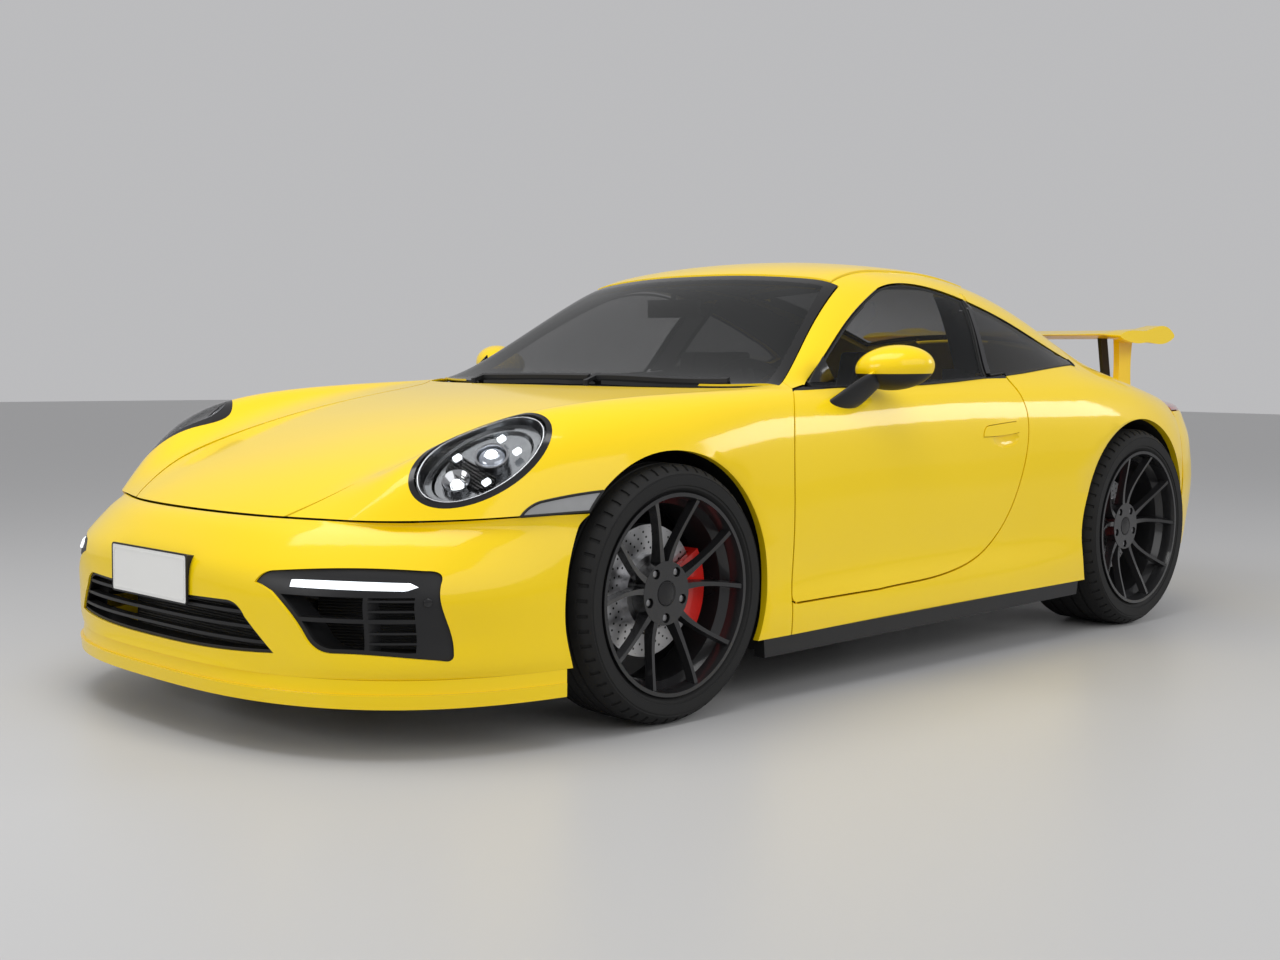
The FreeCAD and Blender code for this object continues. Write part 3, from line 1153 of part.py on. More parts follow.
def make_front_axle():
    """Subframe with its lower arms, and the two leaning spring struts."""
    x, z = FRONT_AXLE_X, FRONT_TYRE_R
    frame = box(x - 200, x + 200, -330, 330, FRONT_FRAME_Z, FRONT_FRAME_Z + 40)
    eye = Part.makeCylinder(28, 26, Vector(x, KINGPIN_Y, z - 150), Vector(0, 0, 1))
    for foot in (-170, 150):
        start = Vector(x + foot, 318, FRONT_FRAME_Z + 20)
        end = Vector(x, KINGPIN_Y, z - 137)
        eye = eye.fuse(Part.makeCylinder(13, (end - start).Length, start, end - start))
    socket = Part.makeCylinder(BALL_PIN_R + RUNNING_CLEARANCE, 60, Vector(x, KINGPIN_Y, z - 160))
    over = Part.makeCylinder(40, 60, Vector(x, KINGPIN_Y, z - 124))
    arm = largest(eye.cut([socket, over]))
    foot = Vector(x, KINGPIN_Y - 68.0, z + 130.0)
    top = Vector(x, LINER_INNER_Y + 85.0, z + LINER_R + LINER_THICKNESS + 50.0)
    strut = Part.makeCylinder(STRUT_R, (top - foot).Length, foot, top - foot)
    strut = strut.common(Part.makeCylinder(LINER_R - SEAT_CLEARANCE, 900, Vector(x, 100, z), Vector(0, 1, 0)))
    return Part.makeCompound([joined(frame, arm, mirrored(arm)), strut, mirrored(strut)])


STRUT_R = 20.0
FRONT_FRAME_Z = 190.0


def make_liner(x, axle_z, inner_y, outer_y, radius, opening):
    """Dark wheel arch liner: half a drum over the wheel, with its inner wall open at the axle."""
    drum = Part.makeCylinder(radius + LINER_THICKNESS, outer_y - inner_y, Vector(x, inner_y, axle_z),
                             Vector(0, 1, 0))
    hollow = Part.makeCylinder(radius, outer_y - inner_y, Vector(x, inner_y + LINER_THICKNESS, axle_z),
                               Vector(0, 1, 0))
    gate = box(x - opening, x + opening, inner_y - 1, inner_y + LINER_THICKNESS + 1, 0, axle_z + opening)
    return drum.cut([hollow, gate, box(x - 600, x + 600, 0, 1200, -200, axle_z - 110)])


def make_arch_liners(fender):
    """Liners of all four arches, each trimmed to the inside of the panels round it."""
    front = make_liner(FRONT_AXLE_X, FRONT_TYRE_R, LINER_INNER_Y, 880.0, LINER_R, 60.0)
    wing = left_slab(0, 16, 2, 12, INWARD_LEFT, -60.0, 60.0 + ARCH_FLANGE_DEPTH + SEAT_CLEARANCE)
    bumper = wall(FRONT_POINTS, BUMPER_THICKNESS + SEAT_CLEARANCE, FRONT_TURN_X)
    front = largest(front.cut([wing, bumper, fender]))
    rear = make_liner(REAR_ARCH_X, REAR_TYRE_R, REAR_LINER_INNER_Y, 880.0, REAR_ARCH_R + 2.0, 150.0)
    side = left_slab(10, 35, 2, 12, INWARD_LEFT, -60.0, 60.0 + SIDE_THICKNESS + SEAT_CLEARANCE)
    rear = largest(rear.cut([side, wall(TAIL_POINTS, BUMPER_THICKNESS + SEAT_CLEARANCE, TAIL_TURN_X)]))
    return both_sides(Part.makeCompound([front, rear]))


REAR_LINER_INNER_Y = 575.0


def make_rear_axle():
    """Rear subframe, hub carriers and the drive shafts, one piece per axle."""
    x, z = REAR_AXLE_X, REAR_TYRE_R
    parts = [box(ENGINE_FRONT_X, -760, -300, 300, 190, 230)]
    for sign in (1, -1):
        face = REAR_HUB_FACE_Y - 8.0 - SEAT_CLEARANCE
        start = Vector(x, sign * (face - 90), z)
        parts.append(Part.makeCylinder(58, 90, start, Vector(0, sign, 0)))
        parts.append(Part.makeCylinder(SPINDLE_R, 98, start, Vector(0, sign, 0)))
        parts.append(Part.makeCylinder(20, face - 60 - 250, Vector(x, sign * 250, z), Vector(0, sign, 0)))
        parts.append(box(x - 24, x + 24, min(sign * 540, sign * (face - 60)),
                         max(sign * 540, sign * (face - 60)), 200, z + 90))
        lower = Part.makeCylinder(16, 300, Vector(x, sign * 270, 212), Vector(0, sign, 0))
        parts.append(lower)
        parts.append(box(x - 60, x + 60, min(sign * 225, sign * 300), max(sign * 225, sign * 300), 210, z + 60))
    return joined(*parts)


# Chassis and cabin

def make_floor():
    """Floor pan with its tunnel, sill boxes, front and rear bulkheads and the cowl's support."""
    floor = box(-760, 845, -700, 700, 140, FLOOR_TOP)
    toe = box(840, 1000, -455, 455, 140, FLOOR_TOP)
    tunnel = box(-760, 1000, -120, 120, 160, 300)
    sills = [box(-742, 857, 700, SILL_BOX_Y, 140, 262), box(-742, 857, -SILL_BOX_Y, -700, 140, 262)]
    front = box(988, 1000, -455, 455, 150, 700)
    cheeks = [box(845, 857, 445, 700, 150, 700), box(845, 857, -700, -445, 150, 700),
              box(845, 1000, 445, 457, 150, 700), box(845, 1000, -457, -445, 150, 700)]
    shelf = [box(845, 1000, -457, 457, 690, 700), box(845, 857, -640, 640, 690, 815)]
    rear = box(-760, -745, -570, 570, 150, PARCEL_SHELF_Z)
    return joined(floor, toe, tunnel, front, rear, *(sills + cheeks + shelf))


def make_luggage_tub(bonnet):
    """Open tub of the front luggage bay, with two rubber stops that the bonnet rests on."""
    outer = box(1000.3, 1760, -430, 430, 230, 640)
    inner = box(1008, 1752, -422, 422, 238, 700)
    rim_y = LINER_INNER_Y - SEAT_CLEARANCE
    rim = box(1000.3, 1790, -rim_y, rim_y, 632, 640).cut(box(1008, 1752, -422, 422, 600, 700))
    posts = []
    bonnet = bonnet.translated(Vector(0, 0, -SEAT_CLEARANCE))
    for y in (-450, 450):
        post = Part.makeCylinder(9, 200, Vector(1770, y, 636)).cut(bonnet)
        posts.append(min(post.Solids, key=lambda k: k.CenterOfMass.z))
    return joined(outer.cut(inner), rim, *posts)


def make_dashboard():
    side = [[(760, 830), (700, 842), (560, 838), (455, 800)], [(455, 800), (440, 740), (470, 660)],
            [(470, 660), (600, 600)], [(600, 600), (845, 600)], [(845, 600), (845, 780)],
            [(845, 780), (760, 830)]]
    body = prism(side, "xz", -640.0, 640.0)
    hood = prism([[(470, 800), (560, 870), (640, 838)], [(640, 838), (470, 800)]], "xz", 240.0, 520.0)
    console = box(-180, 600, -110, 110, 300.3, 620)
    column = Part.makeCylinder(28 + SEAT_CLEARANCE, 400, WHEEL_CENTRE, WHEEL_TILT * -1)
    return largest(joined(body, hood, console).cut(column))


WHEEL_TILT = Vector(-0.93, 0, 0.36)
WHEEL_CENTRE = Vector(330, 372, 775)


def make_steering_wheel():
    tilt = WHEEL_TILT
    centre = WHEEL_CENTRE
    ring = Part.makeTorus(178, 15, centre, tilt)
    boss = Part.makeCylinder(62, 34, centre - tilt * 22, tilt)
    column = Part.makeCylinder(28, 190, centre - tilt * 20, tilt * -1)
    spokes = []
    for angle in (0.0, 180.0, 270.0):
        bar = box(-14, 14, 40, 172, -12, 8)
        bar.rotate(Vector(0, 0, 0), Vector(0, 0, 1), angle)
        bar.Placement = FreeCAD.Placement(centre, FreeCAD.Rotation(Vector(0, 0, 1), tilt)).multiply(
            bar.Placement)
        spokes.append(bar)
    return joined(ring, boss, column, *spokes)


def make_front_seats():
    foot = FLOOR_TOP
    side = [[(330, foot), (330, 390)], [(330, 390), (180, 400), (-60, 360)],
            [(-60, 360), (-150, 600), (-262, 985)], [(-262, 985), (-340, 985)],
            [(-340, 985), (-300, 600), (-250, foot)], [(-250, foot), (330, foot)]]
    seat = prism(side, "xz", 137.0, 630.0)
    wings = prism([[(300, 300), (300, 450)], [(300, 450), (0, 460), (-180, 800)], [(-180, 800), (-290, 780)],
                   [(-290, 780), (-260, 300)], [(-260, 300), (300, 300)]], "xz", 137.0, 630.0)
    hollow = prism([[(340, 390), (340, 480)], [(340, 480), (-180, 820)], [(-180, 820), (-150, 600), (-60, 360)],
                    [(-60, 360), (180, 400), (340, 390)]], "xz", 205.0, 562.0)
    return both_sides(seat.fuse(wings).cut(hollow).removeSplitter())


def make_rear_seats():
    foot = FLOOR_TOP
    side = [[(-440, foot), (-440, 400)], [(-440, 400), (-660, 380)], [(-660, 380), (-735, 780)],
            [(-735, 780), (-742, 780)], [(-742, 780), (-742, foot)], [(-742, foot), (-440, foot)]]
    return both_sides(prism(side, "xz", 130.0, 540.0))


def make_engine():
    return box(ENGINE_REAR_X, ENGINE_FRONT_X, -ENGINE_HALF_WIDTH, ENGINE_HALF_WIDTH, 215, 720)


ENGINE_REAR_X = -1960.0
ENGINE_FRONT_X = -1330.0
ENGINE_HALF_WIDTH = 360.0


def make_parcel_shelf():
    return box(-1290, -745, -500, 500, PARCEL_SHELF_Z, PARCEL_SHELF_Z + 14)


PARCEL_SHELF_Z = 870.0


def make_exhaust():
    """Silencer across the tail with its two round tips."""
    body = box(-2110, ENGINE_REAR_X, -440, 440, 262, 400)
    tips = []
    for y in (-TAILPIPE_Y, TAILPIPE_Y):
        pipe = Part.makeCylinder(TAILPIPE_R, 200, Vector(-2258, y, TAILPIPE_Z), Vector(1, 0, 0))
        tips.append(pipe.cut(Part.makeCylinder(TAILPIPE_R - 5, 120, Vector(-2270, y, TAILPIPE_Z),
                                               Vector(1, 0, 0))))
    return joined(body, *tips)


def make_wing():
    """Fixed rear wing: a thin blade with thick upswept ends, on two yellow stays and two black struts."""
    half = WING_HALF_SPAN
    sections = []
    for y, front, rear, low, high in ((-half, -1541, -1986, 1041, 1087), (-half + 60, -1560, -1988, 1046, 1090),
                                      (-half + 110, -1585, -1975, 1058, 1084), (-400, -1598, -1972, 1060, 1080),
                                      (0, -1606, -1970, 1060, 1080), (400, -1598, -1972, 1060, 1080),
                                      (half - 110, -1585, -1975, 1058, 1084), (half - 60, -1560, -1988, 1046, 1090),
                                      (half, -1541, -1986, 1041, 1087)):
        chord, thick = front - rear, high - low
        points = [(front, low + thick * 0.55), (front - chord * 0.12, high - thick * 0.1),
                  (front - chord * 0.45, high), (rear + chord * 0.03, high - thick * 0.06),
                  (rear, high - thick * 0.35), (rear + chord * 0.05, low + thick * 0.3),
                  (front - chord * 0.5, low), (front - chord * 0.1, low + thick * 0.12)]
        curve = Part.BSplineCurve()
        curve.interpolate([Vector(px, y, pz) for px, pz in points], PeriodicFlag=True)
        sections.append(Part.Wire([curve.toShape()]))
    blade = Part.makeLoft(sections, True, True)
    stays = []
    for sign in (1, -1):
        y0, y1 = sorted((sign * 488.0, sign * 512.0))
        stays.append(prism([[(-1728, 1066), (-1846, 1066)], [(-1846, 1066), (-1834, 950), (-1852, 800)],
                            [(-1852, 800), (-1725, 800)], [(-1725, 800), (-1738, 950), (-1728, 1066)]],
                           "xz", y0, y1))
        y0, y1 = sorted((sign * 440.0, sign * 454.0))
        stays.append(prism([[(-1686, 1070), (-1740, 1070)], [(-1740, 1070), (-1800, 800)],
                            [(-1800, 800), (-1746, 800)], [(-1746, 800), (-1686, 1070)]], "xz", y0, y1))
    return largest(joined(blade, *stays).cut(top_slab(22, 35, 6, -SEAT_CLEARANCE, 200.0)))


WING_HALF_SPAN = 622.0


def make_mirror(door):
    """Left door mirror: leaning housing with its glass recess, on a foot that stands on the door."""
    matrix = FreeCAD.Matrix(92, -30, 0, 336, 0, 106, 0, 905, 0, 8, 67, 931)
    shell = Part.makeSphere(1.0).transformGeometry(matrix)
    shell = shell.cut(box(100, MIRROR_FACE_X, 700, 1100, 800, 1100))
    recess = Part.makeCylinder(1.0, 1.0, Vector(0, 0, 0), Vector(1, 0, 0))
    recess = recess.transformGeometry(FreeCAD.Matrix(6, 0, 0, MIRROR_FACE_X - 1, 0, 76, 0, 905, 0, 0, 46, 930))
    sections = []
    for y, x, z, half_x, half_z in ((828, 488, 822, 70, 25), (856, 470, 846, 64, 29), (882, 428, 884, 52, 26),
                                    (900, 400, 905, 46, 20)):
        oval = Part.Ellipse(Vector(x + half_x, y, z), Vector(x, y, z + half_z), Vector(x, y, z))
        sections.append(Part.Wire([oval.toShape()]))
    foot = Part.makeLoft(sections, True, False)
    return largest(shell.cut(recess).fuse(foot).cut(door))


MIRROR_FACE_X = 268.0


def make_plate():
    sheet = box(2150, NOSE_X, -PLATE_HALF_WIDTH, PLATE_HALF_WIDTH, PLATE_FOOT_Z, PLATE_FOOT_Z + 118)
    return largest(sheet.cut(wall(FRONT_POINTS, 200.0, FRONT_TURN_X)))


PLATE_HALF_WIDTH = 185.0
PLATE_FOOT_Z = 335.0


def make_cabin_mirror():
    glass = box(330, 345, -115, 115, 1090, 1150)
    arm = Part.makeCylinder(8, 120, Vector(340, 0, 1120), Vector(0, 0, 1))
    glazing = top_slab(6, 24, 2, -60.0, 60.0 + GLASS_INSET + WINDSCREEN_THICKNESS + SEAT_CLEARANCE)
    return largest(joined(glass, arm.cut(glazing)))


def make_wipers():
    """Two wipers parked along the foot of the windscreen, each on a post that stands on the cowl."""
    cowl_depth = GLASS_INSET + WINDSCREEN_THICKNESS + SEAT_CLEARANCE
    over = top_slab(5, 24, 8, -WIPER_RISE, WIPER_RISE + GLASS_INSET - SEAT_CLEARANCE)
    deep = top_slab(5, 17, 8, -WIPER_RISE, WIPER_RISE + cowl_depth)
    wipers = []
    for root_y, post_x, line in (
            (90.0, 824.0, [(790, 76), (786, 305), (770, 540), (752, 610)]),
            (-470.0, 812.0, [(790, 60), (790, 0), (786, -305), (776, -484)])):
        back = [(x - BLADE_WIDTH, y) for x, y in reversed(line)]
        blade = over.common(prism([line, [line[-1], back[0]], back, [back[-1], line[0]]], "xy", 600.0, 1200.0))
        arm = over.common(box(770, post_x, root_y - BLADE_WIDTH / 2, root_y + BLADE_WIDTH / 2, 600, 1200))
        post = deep.common(Part.makeCylinder(WIPER_POST_R, 400, Vector(post_x, root_y, 700)))
        wipers.append(joined(blade, arm, post))
    return Part.makeCompound(wipers)


WIPER_RISE = 9.0
BLADE_WIDTH = 14.0
WIPER_POST_R = 9.0


# Pieces and files

def export(name, shape):
    shape.exportStep("parts/" + name + ".step")


def main():
    os.makedirs("parts", exist_ok=True)
    fender = make_fender()
    side = make_side()
    door = make_door()
    glass = make_door_glass(door)
    mirror = make_mirror(door)
    headlamp = make_headlamp()
    lens = make_lens()
    bonnet = make_bonnet()
    export("bonnet", bonnet)
    export("cowl", make_cowl())
    export("windscreen", make_windscreen())
    export("roof_panel", make_roof())
    export("rear_window", make_rear_window())
    export("engine_lid", make_engine_lid())
    export("front_wings", both_sides(fender))
    export("door_pillars", both_sides(side_pillar()))
    export("body_side_left", side)
    export("body_side_right", mirrored(side))
    for name, shape in (("left", door), ("right", mirrored(door))):
        export("door_" + name, shape)
    for name, shape in (("left", glass), ("right", mirrored(glass))):
        export("door_glass_" + name, shape)
    for name, shape in (("left", mirror), ("right", mirrored(mirror))):
        export("door_mirror_" + name, shape)
    export("quarter_windows", both_sides(make_quarter_window()))
    export("front_bumper", make_front_bumper())
    export("front_lip", make_front_lip())
    export("intake_inserts", make_intake_inserts())
    export("rear_bumper", make_rear_bumper())
    export("tail_light", make_tail_light())
    export("diffuser", make_diffuser())
    export("side_skirts", both_sides(make_skirt()))
    export("headlamps", both_sides(headlamp))
    covers = [both_sides(lens), both_sides(make_side_marker()), make_light_bars()]
    export("lamp_covers", Part.makeCompound([solid for shape in covers for solid in shape.Solids]))
    export("number_plate", make_plate())
    export("floor_pan", make_floor())
    export("luggage_tub", make_luggage_tub(bonnet))
    export("dashboard", make_dashboard())
    export("steering_wheel", make_steering_wheel())
    export("front_seats", make_front_seats())
    export("rear_seats", make_rear_seats())
    export("parcel_shelf", make_parcel_shelf())
    export("engine_block", make_engine())
    export("exhaust", make_exhaust())
    export("rear_wing", make_wing())
    export("cabin_mirror", make_cabin_mirror())
    export("wipers", make_wipers())
    export("arch_liners", make_arch_liners(fender))
    export("front_axle", make_front_axle())
    export("rear_axle", make_rear_axle())
    knuckle = make_knuckle()
    caliper = make_caliper(FRONT_AXLE_X, FRONT_HUB_FACE_Y, FRONT_TYRE_R, FRONT_DISC_R, 180.0)
    rear_caliper = make_caliper(REAR_AXLE_X, REAR_HUB_FACE_Y, REAR_TYRE_R, REAR_DISC_R, 0.0)
    export("rear_calipers", both_sides(rear_caliper))
    wheels = {
        "front": (make_tyre(FRONT_AXLE_X, FRONT_WHEEL_Y, FRONT_TYRE_R, FRONT_TYRE_WIDTH, FRONT_RIM_R,
                            FRONT_RIM_WIDTH),
                  make_rim(FRONT_AXLE_X, FRONT_WHEEL_Y, FRONT_TYRE_R, FRONT_RIM_R, FRONT_RIM_WIDTH,
                           FRONT_SPOKE_DEPTH),
                  make_disc(FRONT_AXLE_X, FRONT_HUB_FACE_Y, FRONT_TYRE_R, FRONT_DISC_R)),
        "rear": (make_tyre(REAR_AXLE_X, REAR_WHEEL_Y, REAR_TYRE_R, REAR_TYRE_WIDTH, REAR_RIM_R,
                           REAR_RIM_WIDTH),
                 make_rim(REAR_AXLE_X, REAR_WHEEL_Y, REAR_TYRE_R, REAR_RIM_R, REAR_RIM_WIDTH,
                          REAR_SPOKE_DEPTH),
                 make_disc(REAR_AXLE_X, REAR_HUB_FACE_Y, REAR_TYRE_R, REAR_DISC_R))}
    for end, shapes in wheels.items():
        for piece, shape in zip(("tyre", "rim", "disc"), shapes):
            export(piece + "_" + end + "_left", shape)
            export(piece + "_" + end + "_right", mirrored(shape))
    export("knuckle_left", knuckle)
    export("knuckle_right", mirrored(knuckle))
    export("caliper_left", caliper)
    export("caliper_right", mirrored(caliper))


main()
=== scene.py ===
import bpy
import json
import math
from mathutils import Matrix, Vector
from mathutils.bvhtree import BVHTree


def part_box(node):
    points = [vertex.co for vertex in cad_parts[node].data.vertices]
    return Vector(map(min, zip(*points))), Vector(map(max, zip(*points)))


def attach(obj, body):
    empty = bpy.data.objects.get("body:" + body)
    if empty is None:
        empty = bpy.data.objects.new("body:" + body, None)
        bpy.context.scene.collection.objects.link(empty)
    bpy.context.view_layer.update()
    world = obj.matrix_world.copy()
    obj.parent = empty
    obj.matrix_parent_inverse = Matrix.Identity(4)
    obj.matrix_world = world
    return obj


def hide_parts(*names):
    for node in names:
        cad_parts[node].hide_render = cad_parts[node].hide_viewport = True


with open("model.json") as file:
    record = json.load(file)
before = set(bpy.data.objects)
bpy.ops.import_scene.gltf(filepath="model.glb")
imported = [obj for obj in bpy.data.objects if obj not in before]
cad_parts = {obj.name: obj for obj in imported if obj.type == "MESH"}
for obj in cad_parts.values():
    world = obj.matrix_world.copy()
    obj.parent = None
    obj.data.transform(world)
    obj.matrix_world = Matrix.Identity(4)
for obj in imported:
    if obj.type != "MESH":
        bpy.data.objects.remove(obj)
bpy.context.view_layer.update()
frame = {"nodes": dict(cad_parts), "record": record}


# ---------------------------------------------------------------- camera, floor and light
# The camera stands off the left front corner at belt height, as the photograph does. A wide soft box
# hangs over the car and three stand beside, ahead of and behind it, on a plain pale floor.
def placed(name, data):
    """New object in the scene, with the given data."""
    thing = bpy.data.objects.new(name, data)
    bpy.context.scene.collection.objects.link(thing)
    return thing


def calculator(tree):
    """Function that adds a math node to the tree and gives its result."""
    def calc(kind, *values):
        node = tree.nodes.new("ShaderNodeMath")
        node.operation = kind
        for socket, value in zip(node.inputs, values):
            if isinstance(value, float):
                socket.default_value = value
            else:
                tree.links.new(value, socket)
        return node.outputs[0]
    return calc


def mixed(tree, mask, low, high):
    """Colour that goes from low to high with a mask. Each may be a colour or another output."""
    blend = tree.nodes.new("ShaderNodeMix")
    blend.data_type = "RGBA"
    tree.links.new(mask, blend.inputs[0])
    for socket, value in ((blend.inputs[6], low), (blend.inputs[7], high)):
        if isinstance(value, tuple):
            socket.default_value = (*value, 1.0)
        else:
            tree.links.new(value, socket)
    return blend.outputs[2]


sensor_width, focal_pixels, photo_pixels = 36.0, 1615.6, 1280.0
camera_place = (4.27557, 3.74552, 0.93323)
camera_turn, camera_tilt, camera_roll = 3.921709, -0.071489, 0.010119
camera = placed("camera", bpy.data.cameras.new("camera"))
camera.data.sensor_width = sensor_width
camera.data.lens = sensor_width * focal_pixels / photo_pixels
camera.data.clip_end = 200.0
camera.matrix_world = (Matrix.Translation(camera_place)
                       @ Matrix.Rotation(camera_turn - math.pi / 2, 4, "Z")
                       @ Matrix.Rotation(camera_tilt + math.pi / 2, 4, "X")
                       @ Matrix.Rotation(camera_roll, 4, "Z"))
bpy.context.scene.camera = camera
bpy.context.scene.view_settings.view_transform = "Standard"

# The sky that lights the car is a little darker than the one that the camera and the paint see.
sky_light, sky_seen = (0.47, 0.47, 0.48), (0.50, 0.50, 0.51)
world = bpy.data.worlds.new("studio")
bpy.context.scene.world = world
world.use_nodes = True
tree = world.node_tree
calc = calculator(tree)
ray = tree.nodes.new("ShaderNodeLightPath")
seen = calc("MAXIMUM", ray.outputs["Is Camera Ray"], ray.outputs["Is Glossy Ray"])
seen = calc("MAXIMUM", seen, ray.outputs["Is Transmission Ray"])
tree.links.new(mixed(tree, seen, sky_light, sky_seen), tree.nodes["Background"].inputs["Color"])

bpy.ops.mesh.primitive_plane_add(size=60.0, location=(0.0, 0.0, 0.0))
floor = bpy.context.object
floor.name = "studio_floor"
floor_paint = bpy.data.materials.new("floor_paint")
floor_paint.use_nodes = True
floor_shader = floor_paint.node_tree.nodes["Principled BSDF"]
floor_shader.inputs["Base Color"].default_value = (0.52, 0.52, 0.52, 1.0)
floor_shader.inputs["Roughness"].default_value = 0.42
floor.data.materials.append(floor_paint)


def soft_box(name, place, aim, size, power):
    """Rectangular studio light that faces a point of the car."""
    lamp = placed(name, bpy.data.lights.new(name, "AREA"))
    lamp.data.shape = "RECTANGLE"
    lamp.data.size, lamp.data.size_y = size
    lamp.data.energy = power
    lamp.location = place
    lamp.rotation_euler = (Vector(aim) - Vector(place)).to_track_quat("-Z", "Y").to_euler()


soft_box("ceiling_light", (2.1, 0.2, 4.4), (1.2, 0.0, 0.5), (4.6, 2.4), 125.0)
soft_box("left_light", (1.2, 7.8, 3.9), (0.2, 0.0, 0.6), (9.0, 4.4), 178.0)
soft_box("front_light", (7.4, -0.6, 2.4), (1.5, 0.0, 0.5), (3.2, 1.8), 80.0)
soft_box("rear_light", (-6.0, 4.8, 3.2), (-1.5, 0.0, 0.7), (3.0, 1.8), 100.0)


# ---------------------------------------------------------------- painted panels
# Pressed steel and aluminium skins in solid yellow under a clear coat: wings, doors, bonnet, roof,
# sides, lids and bumpers. The coat has a faint orange peel and the tone shifts a little over a panel.
def surface_grain_group():
    """Effect shared by most finishes: a fine grain as height, and a broad cloud that shifts the tone."""
    tree = bpy.data.node_groups.new("surface_grain", "ShaderNodeTree")
    for name, way in (("Grain Scale", "INPUT"), ("Cloud Scale", "INPUT"), ("Height", "OUTPUT"),
                      ("Cloud", "OUTPUT")):
        tree.interface.new_socket(name, in_out=way, socket_type="NodeSocketFloat")
    given = tree.nodes.new("NodeGroupInput")
    result = tree.nodes.new("NodeGroupOutput")
    place = tree.nodes.new("ShaderNodeTexCoord")
    for index, (name, detail) in enumerate((("Height", 3.0), ("Cloud", 2.0))):
        noise = tree.nodes.new("ShaderNodeTexNoise")
        noise.inputs["Detail"].default_value = detail
        tree.links.new(place.outputs["Object"], noise.inputs["Vector"])
        tree.links.new(given.outputs[index], noise.inputs["Scale"])
        tree.links.new(noise.outputs["Fac"], result.inputs[name])
    return tree


def ranged(tree, value, low, high, start=0.0, end=1.0):
    """Number that runs from low to high while value runs from start to end."""
    node = tree.nodes.new("ShaderNodeMapRange")
    for name, number in (("From Min", start), ("From Max", end), ("To Min", low), ("To Max", high)):
        node.inputs[name].default_value = number
    tree.links.new(value, node.inputs["Value"])
    return node.outputs["Result"]


def finish(name, low, high, rough, grain=400.0, bump=0.1, depth=0.0003, cloud=2.0, metallic=0.0,
           coat=0.0, sheen_level=0.30):
    """Material with its own grain, a tone that drifts from low to high, and a roughness that varies."""
    material = bpy.data.materials.new(name)
    material.use_nodes = True
    tree = material.node_tree
    shader = tree.nodes["Principled BSDF"]
    for socket, value in (("Metallic", metallic), ("Coat Weight", coat), ("Coat Roughness", 0.08),
                          ("Specular IOR Level", sheen_level)):
        shader.inputs[socket].default_value = value
    effect = tree.nodes.new("ShaderNodeGroup")
    effect.node_tree = surface_grain
    effect.inputs["Grain Scale"].default_value = grain
    effect.inputs["Cloud Scale"].default_value = cloud
    drift = effect.outputs["Cloud"]
    tree.links.new(mixed(tree, drift, low, high), shader.inputs["Base Color"])
    tree.links.new(ranged(tree, drift, rough[0], rough[1], 0.3, 0.7), shader.inputs["Roughness"])
    relief = tree.nodes.new("ShaderNodeBump")
    relief.inputs["Strength"].default_value = bump
    relief.inputs["Distance"].default_value = depth
    tree.links.new(effect.outputs["Height"], relief.inputs["Height"])
    tree.links.new(relief.outputs["Normal"], shader.inputs["Normal"])
    return material


def only(piece):
    """The piece alone is selected and active."""
    bpy.ops.object.select_all(action="DESELECT")
    bpy.context.view_layer.objects.active = piece
    piece.select_set(True)


def dressed(node, material, angle=30.0, name=None):
    """Smooth-shaded stand-in for a CAD node, with the same shape and its own finish."""
    piece = placed(name or node + "_skin", frame["nodes"][node].data.copy())
    piece.data.materials.clear()
    piece.data.materials.append(material)
    only(piece)
    bpy.ops.mesh.customdata_custom_splitnormals_clear()
    bpy.ops.object.mode_set(mode="EDIT")
    bpy.ops.mesh.select_all(action="SELECT")
    bpy.ops.mesh.remove_doubles(threshold=weld_distance)
    bpy.ops.object.mode_set(mode="OBJECT")
    bpy.ops.object.shade_smooth_by_angle(angle=math.radians(angle))
    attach(piece, bodies[node])
    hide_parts(node)
    return piece


surface_grain = surface_grain_group()
weld_distance = 0.00002
bodies = {node: body for body, nodes in frame["record"]["behaviour"]["bodies"].items() for node in nodes}
yellow_coat = finish("yellow_coat", (0.91, 0.62, 0.002), (0.95, 0.68, 0.003), (0.32, 0.40), grain=70.0,
                     bump=0.02, depth=0.0004, cloud=1.4, coat=0.62, sheen_level=0.12)
for node in ("bonnet", "body_side_left", "body_side_right", "door_left", "door_right", "engine_lid",
             "front_bumper", "front_lip", "front_wings", "rear_bumper", "roof_panel"):
    dressed(node, yellow_coat)


# ---------------------------------------------------------------- black plastic and liners
# Moulded black parts, clipped or screwed on: cowl, skirts, diffuser, intake inserts, pillars, wipers,
# and the felt-like arch liners. Outside pieces have a fine grain, the pillars are polished.
def cut_flat(piece, place, normal):
    """Cuts the faces along a plane, so that a finish can end on it."""
    only(piece)
    bpy.ops.object.mode_set(mode="EDIT")
    bpy.ops.mesh.select_all(action="SELECT")
    bpy.ops.mesh.bisect(plane_co=place, plane_no=normal)
    bpy.ops.object.mode_set(mode="OBJECT")


def refinish(piece, material, wanted):
    """Gives a second finish to the faces whose centre and normal are wanted."""
    piece.data.materials.append(material)
    index = len(piece.data.materials) - 1
    for face in piece.data.polygons:
        if wanted(face.center, face.normal):
            face.material_index = index


